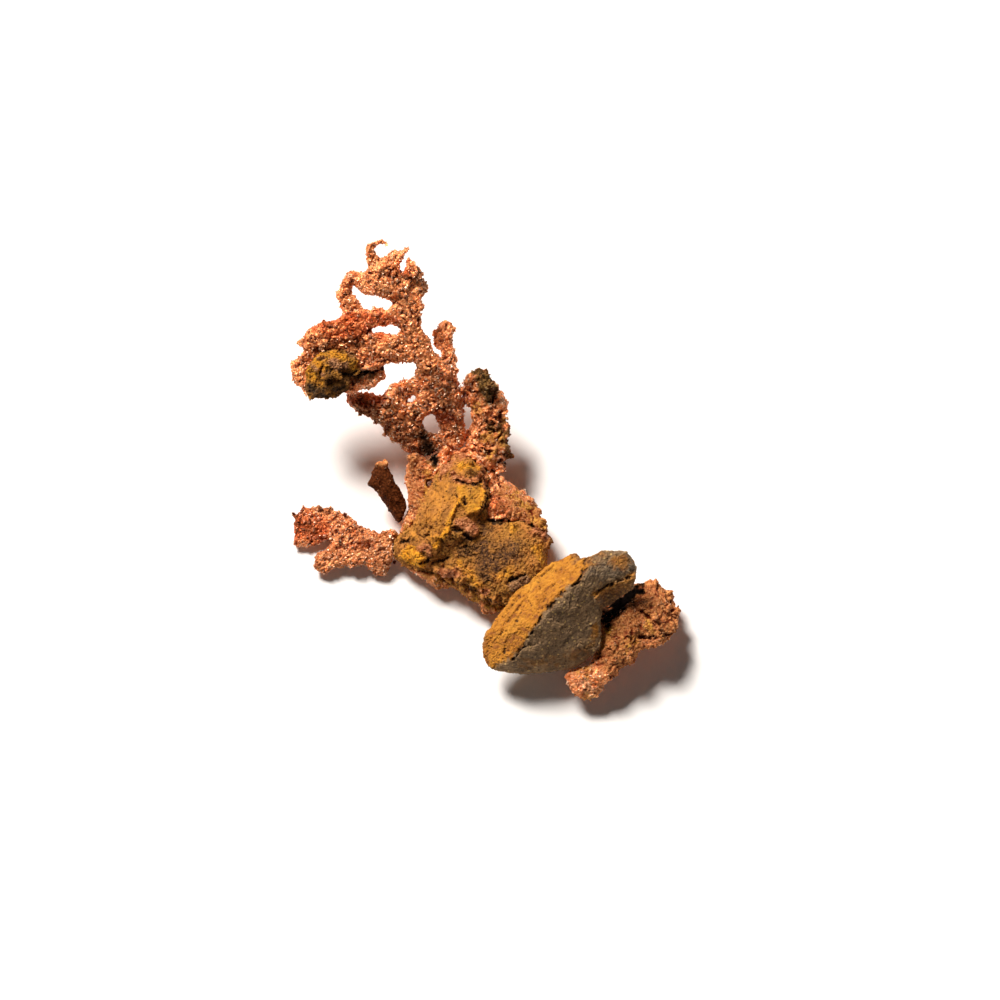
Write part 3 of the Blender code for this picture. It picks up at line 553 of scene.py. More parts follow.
def limonite():
    """Limonite: a darker, greener ochre than the crust, with brown edges, dull all over."""
    material, tree, shader, at = blank(
        "limonite_dull", {"mottle": (1.0, 3.0, 0.6), "fine": (0.22, 3.0, 0.7)}, "tone hollow dark slab brown")
    base = coated(tree, at, ("6E4410", "A06818", "mottle", 0.35, 0.65), [
        (("B4700A", "DC9A18", "fine", 0.35, 0.7), "slab"),
        (("6A3A1C", "C08A64", "fine", 0.38, 0.66), "brown"),
        ("5A3A14", ("tone", 0.4, 1.0, 0.0, 0.6)),
        # painted shade where the surface lies deep
        ("3A200A", ("hollow", 0.12, 0.8, 0.0, 0.8)),
        # painted shade: on the clump's lower side, in a groove and between its pieces
        (("1A1008", "57401E", "fine", 0.45, 0.75), "dark")])
    surfaced(tree, shader, base, at["fine"], 0.14)
    shader.inputs["Roughness"].default_value = 0.9
    return material


def matrix_rock():
    """Fine-grained dark rock, broken, with light mineral specks and one face stained with ochre."""
    material, tree, shader, at = blank(
        "dark_rock_ochre_faced", {"mottle": (2.0, 3.0, 0.6), "fine": (0.28, 4.0, 0.75),
                                  "streaks": (0.5, 3.0, 0.6, -50, (0.3, 1.0, 1.0))},
        "hollow dark pale ochre bright brown")
    at["specks"] = add(tree, "ShaderNodeTexVoronoi", {"feature": "F1"},
                       {"Vector": at["spot"], "Scale": per(0.62), "Randomness": 1.0}).outputs["Distance"]
    stain_and_shade = coated(tree, at, ("AE6C12", "C8841C", "mottle", 0.35, 0.7), [
        ("8A4C1A", ("streaks", 0.50, 0.66, 0.0, 0.75)),
        ("D8922A", ("streaks", 0.44, 0.30, 0.0, 0.7)),
        ("5C3010", ("specks", 0.16, 0.08, 0.0, 0.8))])
    base = coated(tree, at, ("7E6244", "96744E", "mottle", 0.35, 0.65), [
        ("A88A62", ("fine", 0.50, 0.72, 0.0, 0.9)),
        ("3C2C20", ("fine", 0.46, 0.30, 0.0, 0.85)),
        ("D8B070", ("specks", 0.24, 0.14, 0.0, 0.85)),
        (("5E4C3A", "A08A6C", "fine", 0.4, 0.7), "pale"),
        (stain_and_shade, "ochre"),
        ("E0A030", "bright"),
        (("5A3414", "B47C3C", "fine", 0.40, 0.66), "brown"),
        # painted shade where the surface lies deep
        ("2C1A0A", ("hollow", 0.12, 0.8, 0.0, 0.85)),
        # painted shade: near black in the cracks along the ridge and round the lump
        ("100A05", "dark")])
    surfaced(tree, shader, base, at["fine"], 0.16)
    tree.links.new(masked(tree, at, ("pale", 0.0, 1.0, 0.85, 0.6)), shader.inputs["Roughness"])
    return material


# -------- the textures that crumple surfaces

LUMPS = grain("lumps", "CLOUDS", 0.9, noise_depth=2)
CELLS = grain("cells", "VORONOI", 0.42, weight_1=-1.0, weight_2=1.0)
GRIT = grain("grit", "CLOUDS", 0.3, noise_depth=2, noise_type="HARD_NOISE")

COPPER = native_copper()
OCHRE = ochre_crust()
LIMONITE = limonite()
ROCK = matrix_rock()


def finish(piece, node, material):
    """Stands a finished piece in for its solid."""
    stand(piece)
    piece.data.materials.clear()
    piece.data.materials.append(material)
    only(piece)
    bpy.ops.object.shade_flat()
    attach(piece, "root")
    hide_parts(node)


def copper_piece(node, triangles, crystals, seed, marks, buds_at=(), swollen=-0.04, nugget=1.0,
                 bulge=0.14, voxel=0.13, crumple=0.24):
    """A piece of crumpled copper: knobs fused on to the solid, gathered into nuggets, and angular crystals
    set over them, a few large and many small. marks() adds what only this piece has.

    crystals is how many small ones lie on a square millimetre. The last five are in millimetres.
    """
    piece = copy_of(node, node + "_look")
    buds(piece, buds_at, seed)
    skin(piece, voxel, smooth=2)
    swell(piece, swollen)
    strew(piece, 0.9, (0.18, 0.14, 0.10), (0.42, 0.32, 0.24), seed, sides=6)
    skin(piece, FINE)
    cluster(piece, nugget, bulge, seed)
    push(piece, CELLS, crumple, middle=0.3)
    marks(piece)
    thin_to(piece, triangles)
    read_relief(piece)
    strew(piece, 0.3 * crystals, (0.12, 0.09, 0.05), (0.30, 0.22, 0.13), seed + 5)
    strew(piece, crystals, (0.05, 0.04, 0.03), (0.17, 0.12, 0.07), seed + 10)
    finish(piece, node, COPPER)


FAN_BUDS = [
    (-12.0, 25.7, 0.22), (-11.5, 25.7, 0.2), (-11.2, 25.4, 0.18), (-12.6, 25.3, 0.26), (-13.1, 24.6, 0.3),
    (-13.0, 23.7, 0.36), (-10.9, 24.5, 0.4), (-10.3, 24.7, 0.4), (-9.8, 24.3, 0.34), (-9.1, 25.3, 0.22),
    (-8.8, 23.4, 0.5), (-8.5, 22.5, 0.5), (-7.5, 21.2, 0.5), (-8.4, 20.4, 0.4), (-7.9, 19.3, 0.5),
    (-8.6, 18.5, 0.45), (-14.9, 22.2, 0.55), (-14.0, 22.4, 0.45), (-13.2, 22.0, 0.5), (-12.2, 21.9, 0.5),
    (-15.6, 20.8, 0.3), (-15.6, 19.6, 0.5), (-15.2, 18.8, 0.5), (-14.2, 18.6, 0.5), (-13.2, 18.5, 0.45),
    (-20.2, 15.7, 0.3), (-19.2, 16.2, 0.45), (-18.2, 16.9, 0.5), (-16.8, 17.6, 0.5), (-15.6, 18.0, 0.5),
    (-17.4, 15.6, 0.5), (-15.8, 15.4, 0.5), (-14.2, 15.2, 0.5), (-20.5, 13.7, 0.5), (-20.4, 12.6, 0.5),
    (-19.8, 11.6, 0.4), (-19.0, 10.4, 0.3), (-13.0, 14.4, 0.5), (-11.6, 14.6, 0.5), (-10.2, 14.6, 0.5),
    (-12.4, 11.8, 0.35), (-13.6, 11.4, 0.4), (-6.4, 16.8, 0.4), (-5.4, 17.7, 0.35), (-4.6, 17.1, 0.35),
    (-4.9, 15.4, 0.4), (-5.6, 14.6, 0.4), (-4.4, 13.0, 0.4), (-10.4, 11.2, 0.4), (-9.2, 11.6, 0.4),
    (-13.8, 9.4, 0.5), (-12.6, 9.0, 0.5), (-11.4, 8.7, 0.5), (-10.6, 6.9, 0.5), (-9.6, 6.4, 0.6),
    (-8.4, 5.6, 0.5), (-4.2, 8.6, 0.5), (-4.4, 10.4, 0.5), (-6.6, 9.4, 0.6), (-5.6, 11.6, 0.6),
    (-7.0, 13.4, 0.6), (-8.2, 15.6, 0.5), (-9.0, 17.0, 0.5), (-9.4, 21.6, 0.5), (-10.4, 20.8, 0.5)]


def fan_marks(piece):
    """A crack along the lower arm, red stretches, painted highlights and glints, painted shade low on the fan
    and under its arms, and black painted shade where the fan meets the mass.
    """
    crack(piece, 0.5, 0.8,
        [(-15.8, 13.0, 0.16), (-14.6, 12.6, 0.2), (-13.0, 12.8, 0.22), (-11.6, 13.1, 0.18)])
    press(piece, [[(-15.0, 12.95, 0.1), (-13.4, 13.1, 0.12), (-12.0, 13.6, 0.1)]], -0.3)
    paint(piece, "moss", 0.8, 0.5, 0.5, [(-14.4, 12.6, 0.3), (-12.6, 12.6, 0.3)])
    paint(piece, "red", 0.9, 0.7, 0.6,
        [(-18.5, 17.2, 0.5), (-16.4, 17.8, 0.6), (-14.5, 18.0, 0.7), (-12.4, 17.9, 0.5), (-10.4, 18.0, 0.4)],
        [(-15.2, 10.0, 0.5), (-13.4, 9.9, 0.5), (-11.8, 9.9, 0.4)],
        [(-16.8, 16.4, 0.5), (-14.0, 17.0, 0.7), (-11.6, 16.4, 0.4)], [(-9.4, 22.8, 0.5), (-9.8, 23.6, 0.4)],
        [(-6.4, 8.6, 0.5), (-5.0, 8.0, 0.5)])
    # painted glints: small light spots
    paint(piece, "bright", 0.8, 0.5, 0.5, [(-11.2, 24.6, 0.3), (-10.2, 24.9, 0.35)],
        [(-15.2, 22.4, 0.5), (-14.6, 22.0, 0.4)], [(-13.6, 13.6, 0.3), (-12.0, 14.0, 0.3)],
        [(-12.2, 11.6, 0.4), (-13.8, 11.2, 0.3)], [(-12.8, 8.7, 0.4)], [(-11.4, 8.6, 0.3)],
        [(-14.8, 10.6, 0.3)], [(-9.6, 21.8, 0.4)])
    # painted light: broad lighter stretches over the upper fan and its arms
    paint(piece, "bright", 0.5, 1.2, 0.8, [(-12.0, 24.0, 2.4), (-9.4, 21.0, 3.4), (-14.6, 20.6, 2.4)],
        [(-9.0, 18.0, 2.4), (-8.0, 15.6, 3.0)], [(-19.0, 16.0, 2.4), (-12.0, 15.4, 2.6)],
        [(-20.4, 12.6, 1.6)], [(-13.6, 11.6, 1.4)], [(-5.0, 16.4, 1.6)])
    # painted shade on the lower fan, under its arms and down its right column
    paint(piece, "shade", 0.7, 1.4, 1.0,
        [(-14.5, 9.8, 0.8), (-12.0, 7.6, 1.2), (-9.0, 6.0, 1.6), (-6.5, 5.2, 1.4)])
    paint(piece, "shade", 0.6, 0.9, 1.0, [(-11.4, 22.6, 0.3), (-9.8, 22.2, 0.4)], [(-15.0, 20.0, 0.4)],
        [(-12.0, 20.8, 0.3), (-10.6, 21.2, 0.3)], [(-7.6, 21.8, 0.5), (-7.4, 20.4, 0.4)],
        [(-8.6, 19.6, 0.4)], [(-18.6, 15.4, 0.5), (-16.4, 15.6, 0.4)], [(-10.6, 15.4, 0.4)],
        [(-8.8, 13.0, 0.5)], [(-14.8, 11.9, 0.4)])
    paint(piece, "shade", 0.5, 1.2, 0.9, [(-6.4, 12.4, 1.0), (-5.2, 9.0, 1.4), (-4.8, 6.6, 1.2)],
        [(-8.4, 22.0, 0.3), (-7.8, 22.6, 0.4)], [(-17.6, 17.5, 0.3), (-15.6, 17.1, 0.3)],
        [(-15.2, 16.2, 0.5), (-13.4, 15.8, 0.4)], [(-12.8, 15.6, 0.3)])
    paint(piece, "moss", 0.5, 0.6, 0.6, [(-11.4, 9.3, 0.4), (-10.2, 9.0, 0.4)],
        [(-16.2, 15.0, 0.3), (-14.6, 14.9, 0.3)], [(-8.4, 8.9, 0.4)])
    # painted shade: black where the fan meets the mass
    paint(piece, "dark", 0.95, 0.8, 0.5,
        [(-7.9, 6.4, 0.4), (-7.4, 5.4, 0.6), (-6.9, 4.6, 0.8), (-6.2, 3.8, 0.7)])


copper_piece("copper_fan", 78000, 11.5, 11, fan_marks, FAN_BUDS, swollen=0.01, nugget=0.72, bulge=0.14,
             voxel=FINE, crumple=0.3)


SIDE_BRANCH_BUDS = [
    (-3.4, 11.0, 0.6), (-2.8, 12.0, 0.6), (-2.1, 12.8, 0.5), (-1.3, 12.4, 0.5), (-1.0, 11.4, 0.6),
    (-0.7, 10.4, 0.5), (0.0, 10.1, 0.6), (0.4, 9.2, 0.7), (-0.4, 8.8, 0.5), (-3.2, 9.8, 0.6),
    (-2.2, 9.6, 0.7), (-2.6, 8.6, 0.5), (-1.4, 8.9, 0.6), (-2.0, 7.7, 0.6), (-0.8, 7.7, 0.6),
    (0.4, 7.4, 0.5), (-2.2, 6.6, 0.6), (-1.2, 6.4, 0.6), (-0.2, 6.4, 0.6), (0.7, 6.6, 0.5), (-2.9, 5.8, 0.5),
    (-1.7, 5.2, 0.6), (-0.4, 5.2, 0.6), (0.6, 5.2, 0.6), (-3.0, 4.6, 0.5), (-1.9, 4.2, 0.4),
    (-0.8, 4.2, 0.6), (0.4, 4.2, 0.5), (1.3, 4.3, 0.3), (-4.0, 10.8, 0.4), (-4.0, 10.1, 0.4),
    (-3.8, 9.4, 0.35), (-3.5, 11.7, 0.4)]


def side_branch_marks(piece):
    """A mossy notch at its top in painted shade, cracks at its foot, dull metal under a light painted shade
    all over, a few painted glints, and ochre crumbs.
    """
    press(piece, [[(-0.3, 10.9, 0.2), (-0.7, 10.1, 0.25), (-1.1, 9.8, 0.15)]], 0.2)
    crack(piece, 0.35, 0.55, [(-1.4, 7.9, 0.2), (-0.4, 7.5, 0.2)], [(-1.4, 7.0, 0.12), (-0.6, 6.8, 0.2)],
        [(-0.7, 10.4, 0.1), (-0.7, 9.8, 0.16)], [(-1.9, 5.0, 0.16), (-1.0, 4.8, 0.2)],
        [(0.2, 3.9, 0.3), (0.8, 3.5, 0.4)])
    paint(piece, "moss", 0.9, 0.8, 0.7,
        [(-2.4, 13.2, 0.5), (-1.4, 12.5, 0.9), (-1.2, 11.2, 1.0), (-1.1, 10.2, 0.6)])
    paint(piece, "shade", 0.6, 0.9, 0.9, [(-3.4, 11.6, 0.5), (-2.8, 12.4, 0.5), (-2.0, 11.6, 0.7)])
    paint(piece, "moss", 0.8, 0.6, 0.6, [(1.0, 7.4, 0.4), (0.9, 5.6, 0.5), (1.0, 4.2, 0.6)],
        [(-1.2, 7.4, 0.3), (0.0, 7.2, 0.3)])
    paint(piece, "shade", 0.12, 1.0, 1.2, [(-2.0, 12.6, 1.4), (-0.9, 8.0, 2.2), (-0.6, 4.0, 1.8)])
    paint(piece, "matt", 0.3, 1.0, 1.0, [(-1.8, 11.6, 1.4), (-1.0, 6.0, 1.8)])
    # painted glints: small light spots
    paint(piece, "bright", 1.0, 0.3, 0.3, [(-3.2, 4.2, 0.4)], [(-2.0, 4.1, 0.4)], [(-2.9, 10.4, 0.3)],
        [(-1.8, 11.9, 0.25)], [(0.2, 9.8, 0.4)])
    paint(piece, "ochre", 0.8, 0.6, 0.7, [(-1.4, 6.2, 0.4), (-0.2, 6.4, 0.5), (0.2, 5.6, 0.5)],
        [(-1.0, 4.4, 0.5)], [(0.4, 8.0, 0.3)], [(-2.4, 9.0, 0.4)])


copper_piece("copper_side_branch", 60000, 6.0, 21, side_branch_marks, SIDE_BRANCH_BUDS,
             swollen=-0.08, bulge=0.22, crumple=0.18)


def blade_marks(piece):
    """Dull and in painted shade, with a bare tip that carries a painted highlight."""
    paint(piece, "matt", 0.7, 0.8, 0.5, [(-11.6, 3.4, 2.0), (-9.4, -2.0, 2.0)])
    paint(piece, "shade", 0.97, 0.5, 0.4, [(-12.2, 2.2, 1.4), (-11.0, 1.6, 1.6), (-9.4, -2.0, 1.8)])
    tip = [[(-12.2, 3.6, 0.35), (-11.4, 3.4, 0.35)]]
    # painted highlight on the tip
    paint(piece, "bright", 0.4, 0.3, 0.3, *tip)
    wash(piece, "bare", 0.8 - 0.8 * cover(piece, tip, 0.5, 0.3))


copper_piece("copper_blade", 20000, 3.0, 31, blade_marks, [(-12.0, 3.6, 0.3), (-11.4, 3.7, 0.3)],
    swollen=0.02, bulge=0.05, crumple=0.08)


def frond_marks(piece):
    """Leaved along its length, red and in painted shade at its far end, under a light painted shade all over,
    with painted highlights along its lower side and ochre at the end that meets the mass.
    """
    shatter(piece, np.ones(len(piece.data.vertices)), (1.1, 0.45, 0.6), 0.12, 0.06, 6.0, turn=35)
    crack(piece, 0.15, 0.1, [(-14.6, -4.4, 0.2), (-13.6, -3.9, 0.3), (-13.0, -4.6, 0.2)])
    paint(piece, "red", 0.8, 1.2, 0.9, [(-20.0, -2.6, 1.6), (-18.2, -2.8, 1.4)],
        [(-14.6, -4.4, 0.3), (-13.2, -4.6, 0.4)])
    paint(piece, "shade", 0.65, 1.2, 0.9, [(-20.4, -2.0, 1.2), (-19.0, -2.8, 1.0)],
        [(-18.4, -0.9, 0.5), (-17.0, -1.0, 0.5)], [(-14.2, -4.6, 0.5), (-13.2, -4.4, 0.5)],
        [(-18.6, -6.4, 0.4)])
    paint(piece, "shade", 0.22, 1.2, 1.0, [(-19.6, -2.8, 2.6), (-16.0, -3.4, 2.6), (-12.0, -4.8, 2.8)],
        [(-18.0, -6.4, 1.2), (-14.0, -5.6, 1.4)])
    paint(piece, "matt", 0.2, 1.0, 0.8, [(-12.6, -3.4, 1.6), (-11.4, -5.6, 1.6)])
    # painted highlights along the lower side and the middle
    paint(piece, "bright", 0.65, 0.9, 0.8, [(-17.8, -5.8, 0.8), (-15.6, -5.4, 0.8)], [(-15.4, -3.4, 0.6)],
        [(-13.4, -5.8, 0.9), (-12.0, -4.8, 1.0), (-11.6, -6.6, 0.8)])
    paint(piece, "ochre", 0.8, 0.9, 0.7, [(-9.4, -3.2, 1.0), (-9.8, -5.4, 0.8)])


copper_piece("copper_left_frond", 60000, 14.0, 41, frond_marks, [(-20.4, -1.6, 0.4), (-19.4, -1.0, 0.4),
    (-18.2, -0.8, 0.4), (-17.0, -0.9, 0.4), (-15.8, -1.8, 0.4), (-20.4, -4.2, 0.4), (-19.2, -4.7, 0.35),
    (-18.4, -6.6, 0.4), (-17.4, -7.0, 0.35), (-12.6, -6.6, 0.4), (-11.6, -7.2, 0.4), (-10.6, -3.3, 0.4),
    (-9.4, -3.0, 0.4)], swollen=-0.02, bulge=0.12, crumple=0.34)


CORE_BUDS = [
    (-8.6, 4.2, 0.7), (-7.9, 3.2, 0.6), (-9.0, 2.0, 0.7), (-8.0, 1.4, 0.6), (-8.5, 0.5, 0.7),
    (-7.7, -0.4, 0.7), (-8.0, -1.8, 0.7), (-8.8, -3.0, 0.6), (-5.4, 5.0, 0.5), (-5.9, 4.2, 0.5),
    (-4.8, 5.2, 0.4), (-5.6, 3.4, 0.4), (-1.5, 3.4, 0.5), (-0.8, 2.6, 0.6), (-1.1, 1.6, 0.45),
    (0.0, 2.0, 0.5), (-0.4, 1.0, 0.5), (0.6, 1.0, 0.5), (1.4, 0.8, 0.5), (2.2, 0.6, 0.5), (3.0, -0.3, 0.5),
    (3.6, -1.2, 0.5), (4.2, -2.2, 0.5), (-0.4, -0.7, 0.9), (0.4, -1.1, 0.8), (1.4, -0.8, 0.6),
    (2.2, -1.4, 0.6), (3.0, -2.2, 0.5), (-6.4, -7.6, 0.6), (-5.2, -7.8, 0.6), (-3.8, -8.4, 0.6),
    (-2.8, -9.3, 0.5), (-1.8, -10.2, 0.5), (-0.6, -10.8, 0.5)]


def core_marks(piece):
    """Cracks under the knobs, weathered edges, ochre where the crust begins, painted shade over the shoulder
    and the left knobs, and black painted shade in the cave under the fan and under the side branch.
    """
    crack(piece, 0.6, 1.0, [(-1.3, -2.0, 0.2), (-0.5, -2.35, 0.3), (0.5, -2.1, 0.25)],
        [(0.6, -2.1, 0.1), (2.0, -2.3, 0.12), (3.4, -2.6, 0.1)])
    # painted shade: black in the cave under the fan and under the side branch's foot
    paint(piece, "dark", 1.0, 0.6, 0.5, [(-7.4, 5.4, 0.5), (-6.8, 4.6, 0.7), (-6.4, 3.9, 0.5)])
    paint(piece, "dark", 0.85, 0.6, 0.5, [(-1.5, 3.7, 0.35), (-0.4, 3.2, 0.45), (0.5, 2.9, 0.45)])
    paint(piece, "matt", 0.65, 1.2, 1.0, [(1.0, 0.2, 1.4), (3.4, -1.6, 1.6)],
        [(-6.8, -7.4, 1.4), (-1.0, -10.6, 1.6)], [(-8.6, 3.6, 1.0), (-8.0, -1.0, 1.2)])
    paint(piece, "red", 0.75, 0.5, 0.4, [(-0.4, -0.2, 0.6), (0.4, -0.8, 0.7)])
    paint(piece, "shade", 0.3, 1.0, 1.0, [(1.0, 0.2, 1.6), (3.4, -1.6, 2.0)],
        [(-8.4, 3.6, 1.4), (-8.0, -3.0, 1.6)])
    paint(piece, "shade", 0.6, 0.9, 0.8, [(-8.8, 3.2, 0.4)], [(-8.4, 1.4, 0.4)], [(-7.4, 0.6, 0.5)],
        [(-9.2, -3.4, 0.6)], [(-0.4, 2.2, 0.5)], [(-0.8, 0.4, 0.4)], [(-2.6, -9.6, 0.6), (-0.8, -10.9, 0.6)])
    paint(piece, "ochre", 0.75, 0.9, 0.9,
        [(-7.0, 3.4, 0.3), (-6.9, 1.2, 0.4), (-7.4, -1.2, 0.6), (-8.6, -3.8, 0.8)],
        [(1.0, 0.9, 0.3), (2.2, -0.2, 0.4), (4.2, -2.4, 0.6)],
        [(-6.8, -7.0, 0.6), (-3.2, -9.0, 0.7), (-0.4, -10.4, 0.6)], [(-1.6, 3.2, 0.3)])


copper_piece("copper_core", 100000, 6.0, 51, core_marks, CORE_BUDS, swollen=0.02)


def lobe_marks(piece):
    """Weathered all over, cracked across, black with painted shadow where it comes out from under the rock,
    in painted shade near the rock, with painted highlights at its tip.
    """
    crack(piece, 0.35, 0.45,
        [(13.9, -13.6, 0.12), (15.2, -13.8, 0.16), (16.6, -13.4, 0.18), (17.8, -13.1, 0.12)],
        [(14.2, -11.2, 0.06), (15.0, -11.8, 0.1), (15.4, -12.6, 0.06)])
    # painted shadow of the rock: black where the lobe comes out from under it
    paint(piece, "dark", 1.0, 0.7, 0.7,
        [(10.4, -11.9, 0.7), (11.3, -10.9, 0.9), (12.8, -9.5, 0.8), (13.8, -9.0, 0.5)])
    paint(piece, "matt", 0.8, 1.4, 0.8, [(12.4, -14.6, 3.4), (16.0, -11.4, 4.0)])
    paint(piece, "matt", 0.25, 1.0, 0.8, [(8.6, -18.4, 2.4)])
    # painted highlights at the tip
    paint(piece, "bright", 0.8, 1.0, 0.8, [(7.2, -18.0, 0.8), (9.0, -19.0, 0.9)], [(9.8, -17.4, 0.6)])
    paint(piece, "shade", 0.5, 1.4, 1.2, [(11.4, -13.4, 0.8), (13.2, -12.0, 0.9), (14.2, -10.4, 0.6)],
        [(16.4, -12.8, 0.6)], [(10.6, -16.0, 0.5)])
    paint(piece, "red", 0.5, 0.6, 0.5, [(6.6, -17.4, 0.4), (7.6, -18.2, 0.4), (8.4, -19.4, 0.3)])
    paint(piece, "shade", 0.38, 1.4, 1.0, [(11.0, -15.4, 1.4), (13.4, -12.6, 1.6), (14.6, -10.4, 0.8)])
    paint(piece, "ochre", 0.6, 0.9, 0.9, [(8.4, -16.8, 0.7)], [(8.8, -19.6, 0.5)])
    paint(piece, "ochre", 0.8, 1.0, 1.0, [(12.6, -14.0, 0.5)], [(14.8, -12.4, 0.4)],
        [(9.4, -12.6, 0.6), (9.8, -14.0, 0.5), (10.6, -13.2, 0.4)])


copper_piece("copper_lower_lobe", 80000, 6.0, 61, lobe_marks, [(13.7, -8.6, 0.5), (15.4, -8.4, 0.5),
    (16.8, -9.4, 0.5), (17.6, -11.0, 0.5), (17.4, -12.4, 0.5), (16.0, -13.6, 0.5), (12.8, -15.6, 0.6),
    (11.4, -17.2, 0.5), (6.6, -17.6, 0.4), (7.6, -18.8, 0.4), (9.6, -19.4, 0.4), (9.0, -20.0, 0.3),
    (12.2, -14.0, 0.6), (13.6, -12.8, 0.6), (15.4, -11.6, 0.6), (14.2, -10.6, 0.6)],
    swollen=-0.04, nugget=1.0, bulge=0.16, crumple=0.3)


